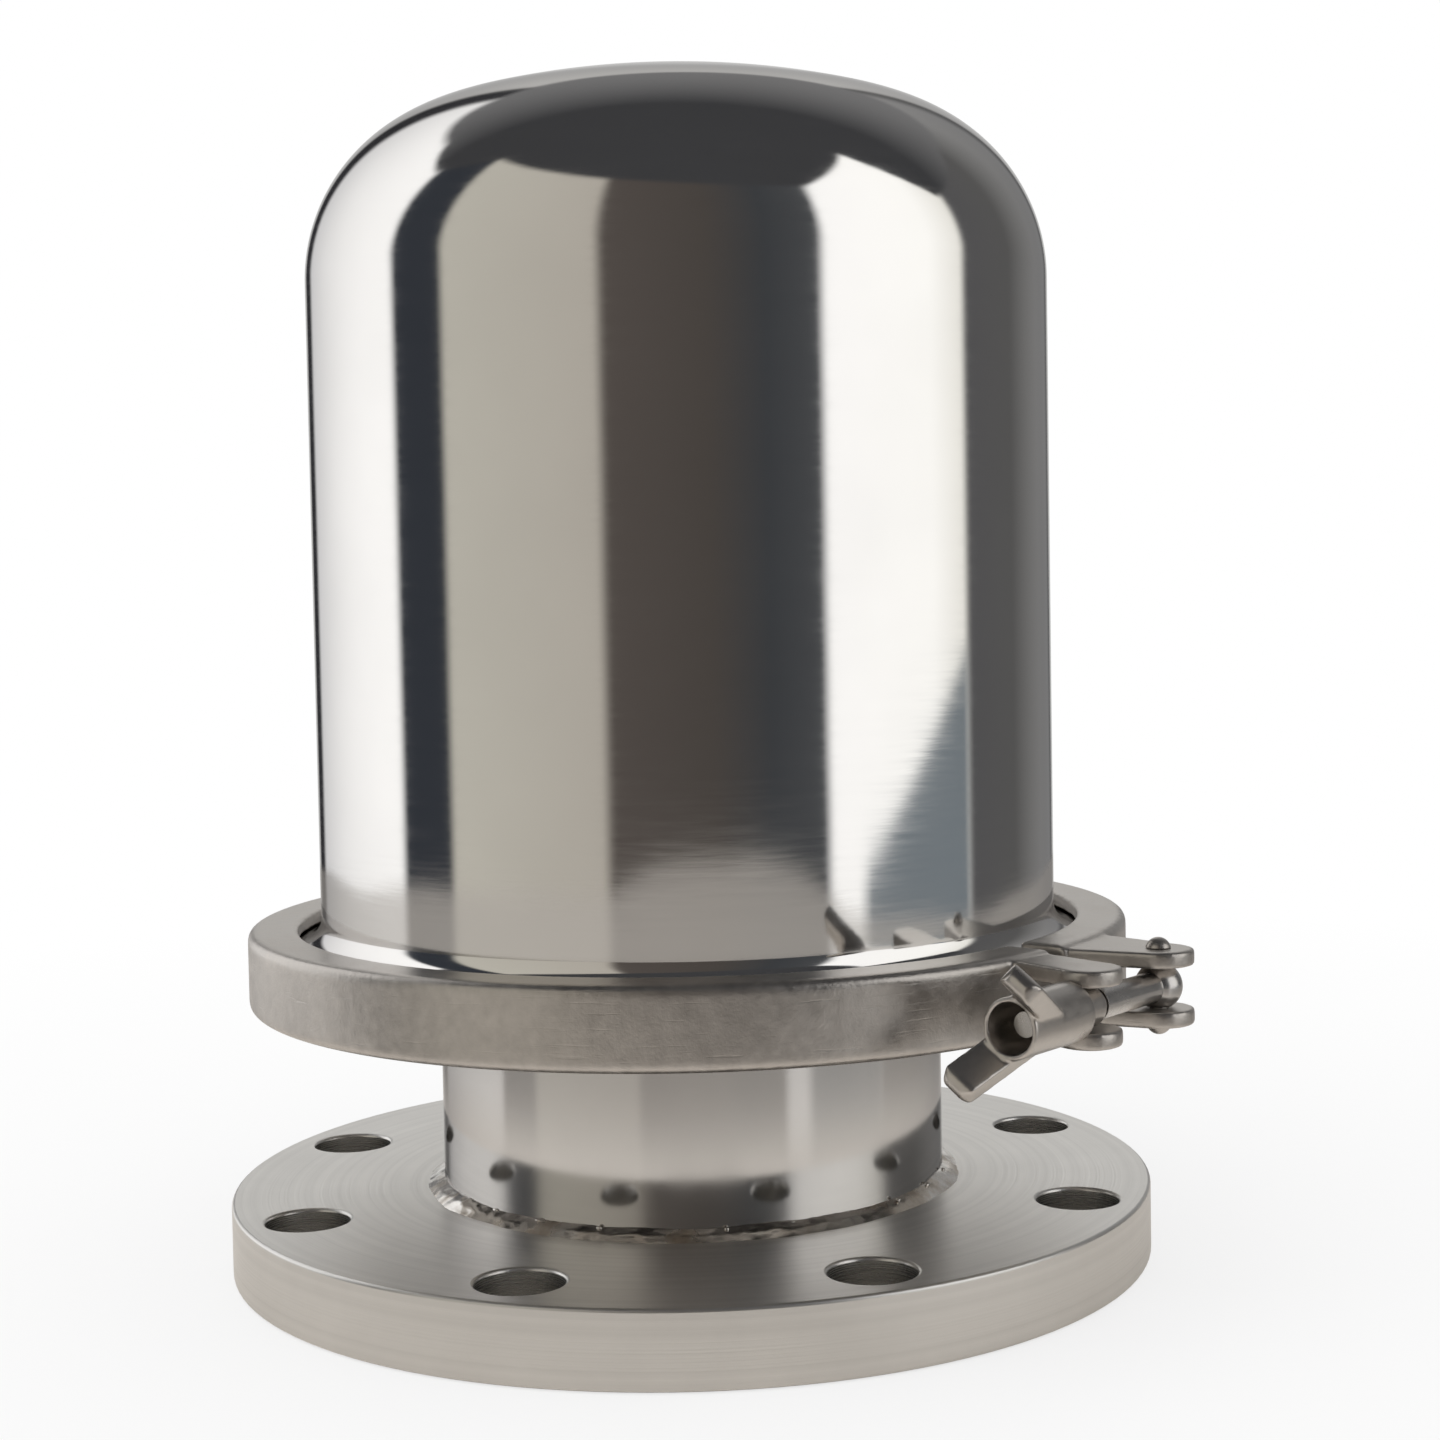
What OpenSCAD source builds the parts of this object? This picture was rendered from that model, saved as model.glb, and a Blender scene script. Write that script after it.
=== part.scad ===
// Tank breather valve: a flanged neck, a bell held down by a hinged clamp ring,
// and spring-loaded pressure and vacuum trim under the bell.
// Sizes are in millimetres. Z is up and the sealing face of the flange is at z = 0.

/* [Flange] */
// Outside diameter of the flange
flange_d = 208; // [180:1:230]
// Thickness of the flange
flange_t = 16; // [12:0.5:24]
// Distance of the bolt hole centres from the rim
hole_inset = 14; // [12:0.5:15]
// Diameter of each bolt hole
bolt_hole_d = 18; // [14:0.5:18]
// Number of bolt holes
bolt_count = 8; // [4:4:12]
// Chamfer at the top of each bolt hole
hole_chamfer = 0.5; // [0.3:0.1:1.5]
// Chamfer round both edges of the flange
flange_chamfer = 0.5; // [0.3:0.1:1.4]

/* [Neck] */
// Outside diameter of the neck tube
neck_d = 114; // [108:1:118]
// Wall of the neck tube
neck_wall = 3; // [2:0.5:4]
// Open height of the neck between flange and base plate
neck_open_h = 44.4; // [36:0.1:70]
// Height of the neck tube above the base plate
neck_rise = 14.5; // [12:0.5:20]
// Distance from the sealing face to the end of the neck tube
neck_setback = 4; // [2:0.5:6]
// Leg of the weld between neck and flange
flange_weld_leg = 4; // [3:0.5:6]
// Leg of the weld between neck and base plate
base_weld_leg = 3; // [2:0.5:4]

/* [Base plate and ferrules] */
// Outside diameter of both ferrules
ferrule_d = 183; // [181:0.5:184]
// Thickness of the ferrule rims
ferrule_rim = 2.85; // [2.4:0.05:3]
// Slope of the back of the ferrule rims, in degrees
ferrule_slope = 20; // [18:1:22]
// Thickness of the base plate
base_t = 6; // [5:0.5:8]
// Number of vent slots
vent_count = 6; // [4:1:7]
// Width of a vent slot
vent_w = 14; // [8:0.5:16]
// Length of a vent slot between the centres of its ends, in degrees
vent_arc = 32; // [16:1:34]
// Thickness of the clamp gasket
gasket_t = 2; // [1.2:0.1:2.4]
// Radius of the bead round the gasket
gasket_bead_r = 1.5; // [1.3:0.1:1.6]

/* [Bell] */
// Outside diameter of the bell
bell_d = 166; // [162:1:168]
// Wall of the bell
bell_wall = 2.5; // [1.5:0.25:3]
// Height of the bell over the gasket
bell_h = 195.9; // [190:0.1:240]
// Radius of the knuckle of the dished head
knuckle_r = 40; // [30:1:50]
// Radius of the crown of the dished head
crown_r = 190; // [160:5:230]
// Straight skirt of the dished head
head_skirt = 10; // [6:0.5:16]
// Radius of the sweep from ferrule to bell
bell_foot_r = 5; // [3:0.5:5.5]

/* [Clamp ring] */
// Outside diameter of the clamp ring
clamp_d = 198; // [196:0.5:202]
// Height of the clamp ring
clamp_h = 17; // [15.5:0.5:20]
// Width of the lips that reach in over the ferrules
clamp_lip_w = 3.4; // [2.5:0.1:4]
// Radius on the outer edges of the clamp ring
clamp_edge_r = 1.8; // [0.8:0.1:2.5]
// Gap between the two halves
clamp_split = 5; // [3:0.5:8]
// Direction of the closure, in degrees from the X axis
clamp_azimuth = -41; // [-90:1:90]
// Thickness of an ear
ear_t = 3.4; // [3:0.1:4]
// Distance of the ears from the faces of the ring
ear_inset = 0.7; // [0.4:0.1:1.5]
// Width of the root of a nut ear along the split
nut_ear_root = 12; // [9:0.5:20]
// Width of the root of a pin ear along the split
pin_ear_root = 22; // [16:0.5:26]
// Width of the root of a hinge lug along the split
hinge_root = 18; // [14:0.5:22]
// Radius of the tips of the nut ears
nut_ear_r = 6.6; // [5.8:0.1:7.4]
// Radius of the tips of the pin ears
pin_ear_r = 7.3; // [6.5:0.1:8.5]
// Radius of the rear hinge knuckles
hinge_r = 6.5; // [5.5:0.1:7.5]
// Diameter of the rear hinge pin
hinge_pin_d = 5; // [4:0.5:7]

/* [Clamp bolt and wing nut] */
// Distance of the bolt axis from the outside of the ring
bolt_out = 14.7; // [13.5:0.1:18]
// Distance of the pivot pin behind the split
pin_back = 14.7; // [13:0.1:18]
// Distance of the nut seat ahead of the split
seat_ahead = 19.3; // [17.5:0.1:21]
// Diameter of the pivot pin
pin_d = 3.6; // [3:0.1:4.2]
// Height of the domed pin heads
pin_head_h = 2.2; // [1.5:0.1:2.5]
// Width of the pin heads round the pin
pin_head_w = 0.8; // [0.5:0.1:1.2]
// Diameter of the ball eye of the bolt
eye_d = 9.8; // [9.2:0.1:11]
// Diameter of the bolt thread
bolt_d = 5; // [4.4:0.1:5.4]
// Diameter of the plain shank
shank_d = 6.4; // [5.8:0.1:7]
// Length of thread past the nut seat
bolt_past_seat = 16; // [12:0.5:19]
// Diameter of the nut barrel
nut_d = 12; // [11.6:0.1:13]
// Length of the nut barrel
nut_len = 21.5; // [20:0.5:26]
// Length of the nut nose between the ears
nut_nose_len = 9; // [6:0.5:11]
// Diameter of the recess in the nut barrel
nut_recess_d = 9.8; // [8:0.1:10]
// Depth of the recess in the nut barrel
nut_recess_depth = 13; // [8:0.5:15]
// Turn of the wings round the bolt, in degrees
wing_turn = 55; // [0:1:180]
// Sweep of the wings towards the end of the bolt, in degrees
wing_sweep = 60; // [45:1:70]
// Length of each wing
wing_len = 10.6; // [8:0.1:12]
// Width of each wing
wing_w = 7.4; // [6:0.1:8]
// Thickness of each wing
wing_t = 4.4; // [3.4:0.1:4.8]
// Chamfer on the corners of the wing tips
wing_corner = 1.6; // [0.8:0.1:2]

/* [Seat and guides] */
// Thickness of the seat ring
seat_t = 8; // [7:0.5:12]
// Wall of the seat spigot in the neck tube
seat_spigot_wall = 3.5; // [2.5:0.5:5]
// Length of the seat spigot in the neck tube
seat_spigot_len = 6; // [4:0.5:10]
// Overhang of the seat ring round the neck tube
seat_overhang = 2; // [1:0.5:3]
// Distance of the seat lip from the bore
lip_inset = 1.5; // [1:0.1:2]
// Wall of the post lugs round the bushes
lug_wall = 2.5; // [2:0.1:3]
// Half width of the roots of the post lugs
lug_root_half = 9; // [8:0.5:12]
// Depth of the roots of the post lugs
lug_root_in = 6; // [5:0.5:8]
// Height of the seat lip
seat_lip_h = 2.5; // [1.5:0.5:4]
// Width of the seat lip
seat_lip_w = 3; // [2:0.5:4]
// Diameter of the guide posts
post_d = 10; // [9:0.5:11]
// Floor of the seat ring under the guide posts
post_floor = 2; // [1:0.5:3]
// Diameter of the upper, threaded part of the posts
post_top_d = 8; // [6:0.5:8]
// Diameter of the distance sleeves
sleeve_d = 13; // [12:0.5:14]
// Clear lift of the pressure pallet
pressure_lift = 18; // [10:1:24]
// Height of the pressure spring when the valve is shut
pressure_spring_h = 91.5; // [90:0.5:96]
// Distance from spring plate to yoke
screw_reach = 12; // [8:0.5:16]
// Thickness of the yoke
yoke_t = 8; // [6:0.5:10]
// Width of the yoke arms
yoke_arm_w = 12; // [8:0.5:16]
// Diameter of the adjusting screw
screw_d = 14; // [10:0.5:16]
// Wall of the yoke hub round the screw
yoke_hub_wall = 8; // [6:0.5:10]
// Height of the locknut
screw_nut_h = 8; // [6:0.5:10]
// Wall of the locknut at its flats
screw_nut_wall = 4; // [3:0.5:5]
// Length of the adjusting screw over the locknut
screw_past = 10; // [6:0.5:12]
// Width of the screwdriver slot
slot_w = 2; // [1.5:0.1:2.5]
// Depth of the screwdriver slot
slot_depth = 3; // [2:0.5:4]
// Height of the post nuts
post_nut_h = 6.5; // [5:0.5:8]
// Wall of the post nuts at their flats
post_nut_wall = 2.5; // [2:0.1:3]
// Length of the posts over their nuts
post_past = 2; // [1:0.5:3]
// Thickness of the spring plate
plate_t = 4; // [3:0.5:5]
// Overhang of the spring plate round the spring
plate_overhang = 2; // [1:0.5:3]
// Width and height of the spigot of the spring plate
plate_spigot = 3; // [2:0.5:4]

/* [Pressure pallet] */
// Thickness of the pressure pallet
pallet_t = 5; // [4:0.5:7]
// Thickness of the pressure seal
pressure_seal_t = 2.5; // [2.2:0.1:3.5]
// Standing height of both seals
seal_stand = 1; // [0.8:0.1:1.4]
// Cover of the pallet round the seal
seal_cover = 1; // [0.6:0.1:1.4]
// Overhang of the pallet round the seat lip
pallet_overhang = 2; // [1.8:0.1:3]
// Wall of the guide bushes
bush_wall = 1.6; // [1.2:0.1:2]
// Height of the guide bushes over the pallet
bush_rise = 1; // [0.5:0.1:1.5]
// Number of vacuum ports
port_count = 10; // [6:1:11]
// Diameter of the vacuum ports
port_d = 11; // [8:0.5:12]
// Gap between spring, ports and vacuum seal
port_gap = 1; // [0.8:0.1:1.4]
// Height of the pallet hub
hub_h = 21.5; // [16:0.5:24]
// Wall of the pallet hub
hub_wall = 3; // [2:0.5:4]
// Width of the flange of the pallet hub
hub_flange_w = 5; // [4:0.5:6]
// Thickness of the flange of the pallet hub
hub_flange_t = 3; // [2:0.5:4]
// Wall of the hub bush and thickness of its flange
hub_bush_wall = 1.5; // [1.2:0.1:2]
// Diameter of the wire of the pressure spring
pressure_wire_d = 2.4; // [1.8:0.1:2.8]
// Turns of the pressure spring
pressure_turns = 8; // [5:1:10]

/* [Vacuum disc] */
// Thickness of the vacuum disc
disc_t = 4; // [3.5:0.5:6]
// Thickness of the vacuum seal
vacuum_seal_t = 2.5; // [2.2:0.1:3]
// Width of the vacuum seal
vacuum_seal_w = 3.5; // [2.5:0.1:4]
// Diameter of the vacuum stem
stem_d = 10; // [8:0.5:10]
// Width of the collar of the vacuum stem
collar_w = 2.5; // [2:0.1:3]
// Overhang of the disc round its seal
disc_overhang = 1.5; // [1:0.1:2]
// Height of the disc nut
disc_nut_h = 8; // [6:0.5:10]
// Height of the stem nuts
stem_nut_h = 6; // [5:0.5:7]
// Wall of the nuts on the stem at their flats
stem_nut_wall = 3.2; // [2.5:0.1:4]
// Length of the stem past its nuts
stem_past = 2.5; // [1.5:0.5:4]
// Thickness of the spring cup
cup_t = 2.5; // [2:0.1:3]
// Depth of the skirt of the spring cup
cup_skirt = 3; // [2:0.5:4]
// Wall of the skirt of the spring cup
cup_wall = 1.2; // [1:0.1:1.5]
// Gap between the stem and its spring
stem_gap = 2; // [1.5:0.1:2.5]
// Height of the vacuum spring when the valve is shut
vacuum_spring_h = 28; // [26:0.5:30]
// Diameter of the wire of the vacuum spring
vacuum_wire_d = 1.5; // [1.2:0.1:1.7]
// Turns of the vacuum spring
vacuum_turns = 6; // [4:1:8]

/* [Clearances] */
// Radial clearance of parts that are fitted and stay put
fit_gap = 0.1; // [0.05:0.01:0.2]
// Radial clearance of shafts that turn or slide
run_gap = 0.08; // [0.05:0.01:0.1]
// Clearance between parts that pass each other
pass_gap = 0.3; // [0.25:0.05:0.5]
// Clearance between the clamp and the ferrules
clamp_gap = 0.3; // [0.2:0.05:0.4]

/* [Hidden] */
$fn = 96;
far = 400;
// Small overlap, so that joined curves cross and don't just touch
bite = 0.1;
neck_r = neck_d / 2;
neck_bore_r = neck_r - neck_wall;
flange_r = flange_d / 2;
bolt_circle_r = flange_r - hole_inset;
ferrule_r = ferrule_d / 2;
bell_r = bell_d / 2;
bell_bore_r = bell_r - bell_wall;
base_z = flange_t + neck_open_h;
base_top = base_z + base_t;
joint_z = base_top + gasket_t / 2;
bell_z = base_top + gasket_t;
neck_top = base_top + neck_rise;
vent_r = (neck_r + base_weld_leg + bell_bore_r) / 2;
bead_r = (bell_bore_r + ferrule_r) / 2;
// The foot of the bell sweeps from the rim slope into the wall
foot_r = bell_r + bell_foot_r;
foot_z = bell_z + ferrule_rim
  + ((ferrule_r - foot_r) * sin(ferrule_slope) + bell_foot_r) / cos(ferrule_slope);
foot_top = foot_z + bell_foot_r / 2;
// Centres of the knuckle and crown of the dished head
knuckle_c = bell_r - knuckle_r;
head_drop = sqrt(pow(crown_r - knuckle_r, 2) - pow(knuckle_c, 2));
crown_z = bell_z + bell_h - crown_r;
knuckle_z = crown_z + head_drop;
head_angle = acos(knuckle_c / (crown_r - knuckle_r));
head_z = knuckle_z - head_skirt;
// Clamp ring, seen from the middle of the joint
clamp_r = clamp_d / 2;
groove_r = ferrule_r + 2 * clamp_gap;
lip_r = ferrule_r - clamp_lip_w;
rim_half = gasket_t / 2 + ferrule_rim + clamp_gap / cos(ferrule_slope);
groove_half = rim_half - (groove_r - ferrule_r) * tan(ferrule_slope);
lip_half = rim_half + clamp_lip_w * tan(ferrule_slope);
ear_z = clamp_h / 2 - ear_inset - ear_t;
ear_root_r = (groove_r + clamp_r) / 2;
ear_top = ear_z + ear_t;
bolt_r = clamp_r + bolt_out;
seat_reach = pin_back + seat_ahead;
eye_h = 2 * ear_z - 2 * pass_gap;
nose_d = 2 * ear_z - 2 * pass_gap;
nut_start = seat_reach + pass_gap;
nut_end = nut_start + nut_len;
nose_start = nut_start - nut_nose_len;
shank_end = nose_start - pass_gap;
bolt_end = nut_start + bolt_past_seat;
pin_head_r = pin_d / 2 + pin_head_w;
hinge_u = -(clamp_r + hinge_r + 1.5 * clamp_gap);
hinge_head_r = hinge_pin_d / 2 + pin_head_w;
// Seat, posts and pallets
spigot_r = neck_bore_r - fit_gap;
seat_bore_r = spigot_r - seat_spigot_wall;
lip_inner_r = seat_bore_r + lip_inset;
lip_outer_r = lip_inner_r + seat_lip_w;
seat_top = neck_top + seat_t;
lip_top = seat_top + seat_lip_h;
seat_r = neck_r + seat_overhang;
pallet_r = lip_outer_r + pallet_overhang;
bush_r = post_d / 2 + run_gap + bush_wall;
lug_r = bush_r + lug_wall;
post_r = pallet_r + bush_r + seal_cover;
pallet_z = lip_top + seal_stand;
pallet_top = pallet_z + pallet_t;
bush_top = pallet_top + bush_rise;
post_foot = neck_top + post_floor;
post_step = bush_top + pressure_lift + pass_gap;
plate_z = pallet_top + pressure_spring_h;
yoke_z = plate_z + plate_t + screw_reach;
yoke_top = yoke_z + yoke_t;
post_end = yoke_top + post_nut_h + post_past;
screw_end = yoke_top + screw_nut_h + screw_past;
hub_bush_r = stem_d / 2 + run_gap + hub_bush_wall;
hub_r = hub_bush_r + hub_wall;
hub_flange_r = hub_r + hub_flange_w;
hub_top = pallet_top + hub_h;
hub_bush_top = hub_top + hub_bush_wall;
spring_r = hub_flange_r + pass_gap + pressure_wire_d / 2;
port_r = spring_r + pressure_wire_d / 2 + port_gap + port_d / 2;
vacuum_seal_in = port_r + port_d / 2 + port_gap;
vacuum_seal_out = vacuum_seal_in + vacuum_seal_w;
disc_r = vacuum_seal_out + disc_overhang;
disc_top = pallet_z - seal_stand;
disc_z = disc_top - disc_t;
stem_foot = disc_z - disc_nut_h - stem_past;
stem_collar_r = stem_d / 2 + collar_w;
cup_z = hub_bush_top + vacuum_spring_h;
stem_nut_z = cup_z + cup_t;
stem_end = stem_nut_z + 2 * stem_nut_h + stem_past;
vacuum_spring_r = stem_d / 2 + stem_gap + vacuum_wire_d;
cup_r = vacuum_spring_r + vacuum_wire_d / 2 + stem_gap;

// Point where a line from p touches a circle, on the side given by 1 or -1
function touch(p, c, r, side) =
  let (v = c - p, d = norm(v), a = atan2(v[1], v[0]) + side * asin(r / d), run = sqrt(d * d - r * r))
  p + run * [cos(a), sin(a)];

// Ring between two radii
module ring(outer_r, inner_r, z, h) {
  translate([0, 0, z])
    difference() {
      cylinder(r = outer_r, h = h);
      translate([0, 0, -1])
        cylinder(r = inner_r, h = h + 2);
    }
}

// Copies at the three guide posts
module at_posts() {
  for (i = [0 : 2])
    rotate([0, 0, 90 + 120 * i])
      translate([post_r, 0, 0])
        children();
}

// Six-sided nut with a round bore
module hex_nut(bore_r, across, z, h) {
  translate([0, 0, z])
    difference() {
      intersection() {
        cylinder(r = across / sqrt(3), h = h, $fn = 6);
        cylinder(r1 = across / 2 + h, r2 = across / 2 + 0.3, h = h);
      }
      translate([0, 0, -1])
        cylinder(r = bore_r, h = h + 2);
    }
}

// Flat outline of a lug: a round tip joined to two points of its root by straight sides
module lug_outline(tip, tip_r, root_a, root_b) {
  side_r = tip_r - bite;
  polygon([root_a, touch(root_a, tip, side_r, -1), tip, touch(root_b, tip, side_r, 1), root_b]);
  translate(tip)
    circle(r = tip_r);
}

// Coil of round wire with its lowest and highest points at the given heights
module coil(mean_r, wire_d, turns, z, h) {
  sides = 8;
  steps = turns * 20;
  rise = h - wire_d;
  wire_r = wire_d / 2;
  points = [for (i = [0 : steps], j = [0 : sides - 1])
    let (a = 360 * turns * i / steps, b = 360 * j / sides, r = mean_r + wire_r * cos(b))
    [r * cos(a), r * sin(a), z + wire_r + rise * i / steps + wire_r * sin(b)]];
  skin = [for (i = [0 : steps - 1], j = [0 : sides - 1])
    let (k = (j + 1) % sides)
    [i * sides + j, (i + 1) * sides + j, (i + 1) * sides + k, i * sides + k]];
  ends = [[for (j = [0 : sides - 1]) j], [for (j = [sides - 1 : -1 : 0]) steps * sides + j]];
  polyhedron(points = points, faces = concat(skin, ends), convexity = 10);
}

// Frame of the clamp closure: X outward through the split, Z up from the joint
module at_closure() {
  translate([0, 0, joint_z])
    rotate([0, 0, clamp_azimuth])
      children();
}

// Frame of the bolt: Z along the bolt from the pivot pin, Y up
module along_bolt() {
  at_closure()
    translate([bolt_r, pin_back, 0])
      rotate([90, 0, 0])
        children();
}

module flange() {
  color([0.72, 0.72, 0.71])
    difference() {
      rotate_extrude()
        polygon([[neck_r + fit_gap, 0], [flange_r - flange_chamfer, 0], [flange_r, flange_chamfer],
          [flange_r, flange_t - flange_chamfer], [flange_r - flange_chamfer, flange_t],
          [neck_r + fit_gap, flange_t]]);
      for (i = [0 : bolt_count - 1])
        rotate([0, 0, 360 * (i + 0.5) / bolt_count])
          translate([bolt_circle_r, 0, 0]) {
            translate([0, 0, -1])
              cylinder(d = bolt_hole_d, h = flange_t + 2);
            translate([0, 0, flange_t - hole_chamfer])
              cylinder(d1 = bolt_hole_d, d2 = bolt_hole_d + 4 * hole_chamfer, h = 2 * hole_chamfer);
          }
    }
}

module neck_tube() {
  color([0.75, 0.75, 0.74])
    ring(neck_r, neck_bore_r, neck_setback, neck_top - neck_setback);
}

module flange_weld() {
  color([0.6, 0.55, 0.48])
    rotate_extrude()
      translate([neck_r, flange_t])
        intersection() {
          circle(r = flange_weld_leg);
          square(flange_weld_leg);
        }
}

module base_plate() {
  slope_r = ferrule_r - (base_t - ferrule_rim) / tan(ferrule_slope);
  color([0.72, 0.72, 0.71])
    difference() {
      rotate_extrude()
        polygon([[neck_r + fit_gap, base_z], [slope_r, base_z], [ferrule_r, base_top - ferrule_rim],
          [ferrule_r, base_top], [neck_r + fit_gap, base_top]]);
      translate([0, 0, base_top])
        rotate_extrude()
          translate([bead_r, 0])
            circle(r = gasket_bead_r + fit_gap);
      for (i = [0 : vent_count - 1])
        rotate([0, 0, 360 * i / vent_count - vent_arc / 2])
          translate([0, 0, base_z - 1]) {
            rotate_extrude(angle = vent_arc)
              translate([vent_r - vent_w / 2 + bite, 0])
                square([vent_w - 2 * bite, base_t + 2]);
            for (a = [0, vent_arc])
              rotate([0, 0, a])
                translate([vent_r, 0, 0])
                  cylinder(d = vent_w, h = base_t + 2);
          }
    }
}

module base_weld() {
  color([0.6, 0.55, 0.48])
    rotate_extrude()
      translate([neck_r, base_z - base_weld_leg])
        intersection() {
          translate([0, base_weld_leg])
            circle(r = base_weld_leg);
          square(base_weld_leg);
        }
}

module seat_ring() {
  root = [seat_r - lug_root_in, lug_root_half];
  color([0.7, 0.7, 0.69])
    difference() {
      union() {
        ring(seat_r, seat_bore_r, neck_top, seat_t);
        ring(spigot_r, seat_bore_r, neck_top - seat_spigot_len, seat_spigot_len + 1);
        ring(lip_outer_r, lip_inner_r, seat_top - 0.5, seat_lip_h + 0.5);
        for (i = [0 : 2])
          rotate([0, 0, 90 + 120 * i])
            translate([0, 0, neck_top])
              linear_extrude(seat_t)
                lug_outline([post_r, 0], lug_r, [root[0], -root[1]], root);
      }
      at_posts()
        translate([0, 0, post_foot])
          cylinder(d = post_d + 2 * fit_gap, h = seat_t + 2);
    }
}

module guide_posts() {
  color([0.78, 0.78, 0.78])
    at_posts() {
      translate([0, 0, post_foot])
        cylinder(d = post_d, h = post_step - post_foot);
      translate([0, 0, post_step - 1])
        cylinder(d = post_top_d, h = post_end - post_step + 1);
    }
}

module distance_sleeves() {
  color([0.66, 0.66, 0.65])
    at_posts()
      ring(sleeve_d / 2, post_top_d / 2 + fit_gap, post_step, yoke_z - post_step);
}

module yoke() {
  color([0.7, 0.7, 0.69])
    difference() {
      union() {
        translate([0, 0, yoke_z])
          cylinder(r = screw_d / 2 + yoke_hub_wall, h = yoke_t);
        for (i = [0 : 2])
          rotate([0, 0, 90 + 120 * i])
            translate([0, -yoke_arm_w / 2, yoke_z])
              cube([post_r, yoke_arm_w, yoke_t]);
        at_posts()
          translate([0, 0, yoke_z])
            cylinder(r = lug_r, h = yoke_t);
      }
      at_posts()
        translate([0, 0, yoke_z - 1])
          cylinder(d = post_top_d + 2 * fit_gap, h = yoke_t + 2);
      translate([0, 0, yoke_z - 1])
        cylinder(d = screw_d + 2 * fit_gap, h = yoke_t + 2);
    }
}

module post_nuts() {
  color([0.78, 0.78, 0.78])
    at_posts()
      hex_nut(post_top_d / 2 + fit_gap, post_top_d + 2 * post_nut_wall, yoke_top, post_nut_h);
}

module adjusting_screw() {
  color([0.78, 0.78, 0.78])
    difference() {
      translate([0, 0, plate_z + plate_t])
        cylinder(d = screw_d, h = screw_end - plate_z - plate_t);
      translate([-screw_d, -slot_w / 2, screw_end - slot_depth])
        cube([2 * screw_d, slot_w, slot_depth + 1]);
    }
}

module adjusting_locknut() {
  color([0.76, 0.76, 0.76])
    hex_nut(screw_d / 2 + fit_gap, screw_d + 2 * screw_nut_wall, yoke_top, screw_nut_h);
}

module spring_plate() {
  spigot_out = spring_r - pressure_wire_d / 2 - pass_gap;
  spigot_in = spigot_out - plate_spigot;
  color([0.7, 0.7, 0.69])
    union() {
      translate([0, 0, plate_z])
        cylinder(r = spring_r + pressure_wire_d / 2 + plate_overhang, h = plate_t);
      ring(spigot_out, spigot_in, plate_z - plate_spigot, plate_spigot + bite);
    }
}

module pressure_spring() {
  color([0.6, 0.6, 0.6])
    coil(spring_r, pressure_wire_d, pressure_turns, pallet_top, pressure_spring_h);
}

module pressure_pallet() {
  seal_depth = pressure_seal_t - seal_stand;
  root = [pallet_r - lug_root_in, lug_root_half];
  color([0.74, 0.74, 0.73])
    difference() {
      translate([0, 0, pallet_z])
        union() {
          cylinder(r = pallet_r, h = pallet_t);
          for (i = [0 : 2])
            rotate([0, 0, 90 + 120 * i])
              linear_extrude(pallet_t)
                lug_outline([post_r, 0], lug_r, [root[0], -root[1]], root);
        }
      ring(lip_outer_r + seal_cover, lip_inner_r - seal_cover, pallet_z - 1, seal_depth + 1);
      translate([0, 0, pallet_z - 1])
        cylinder(r = hub_r, h = pallet_t + 2);
      at_posts()
        translate([0, 0, pallet_z - 1])
          cylinder(r = bush_r, h = pallet_t + 2);
      for (i = [0 : port_count - 1])
        rotate([0, 0, 360 * i / port_count])
          translate([port_r, 0, pallet_z - 1])
            cylinder(d = port_d, h = pallet_t + 2);
    }
}

module pressure_seal() {
  color([0.9, 0.89, 0.85])
    ring(lip_outer_r + seal_cover - fit_gap, lip_inner_r - seal_cover + fit_gap, lip_top, pressure_seal_t);
}

module pallet_bushes() {
  color([0.88, 0.87, 0.83])
    at_posts()
      ring(bush_r - fit_gap / 2, post_d / 2 + run_gap, pallet_z, bush_top - pallet_z);
}

module pallet_hub() {
  color([0.7, 0.7, 0.69])
    difference() {
      union() {
        translate([0, 0, pallet_z])
          cylinder(r = hub_r - fit_gap / 2, h = hub_top - pallet_z);
        translate([0, 0, pallet_top])
          cylinder(r = hub_flange_r, h = hub_flange_t);
      }
      translate([0, 0, pallet_z - 1])
        cylinder(r = hub_bush_r, h = hub_top - pallet_z + 2);
    }
}

module hub_bush() {
  color([0.88, 0.87, 0.83])
    difference() {
      union() {
        translate([0, 0, pallet_z])
          cylinder(r = hub_bush_r - fit_gap / 2, h = hub_bush_top - pallet_z);
        translate([0, 0, hub_top])
          cylinder(r = cup_r, h = hub_bush_wall);
      }
      translate([0, 0, pallet_z - 1])
        cylinder(r = stem_d / 2 + run_gap, h = hub_bush_top - pallet_z + 2);
    }
}

module vacuum_disc() {
  seal_depth = vacuum_seal_t - seal_stand;
  color([0.74, 0.74, 0.73])
    difference() {
      translate([0, 0, disc_z])
        cylinder(r = disc_r, h = disc_t);
      ring(vacuum_seal_out + fit_gap, vacuum_seal_in - fit_gap, disc_top - seal_depth, seal_depth + 1);
      translate([0, 0, disc_z - 1])
        cylinder(d = stem_d + 2 * fit_gap, h = disc_t + 2);
    }
}

module vacuum_seal() {
  color([0.9, 0.89, 0.85])
    ring(vacuum_seal_out, vacuum_seal_in, pallet_z - vacuum_seal_t, vacuum_seal_t);
}

module vacuum_stem() {
  collar_t = seal_stand - pass_gap;
  color([0.78, 0.78, 0.78])
    union() {
      translate([0, 0, stem_foot])
        cylinder(d = stem_d, h = stem_end - stem_foot);
      translate([0, 0, disc_top])
        cylinder(r = stem_collar_r, h = collar_t);
    }
}

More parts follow.
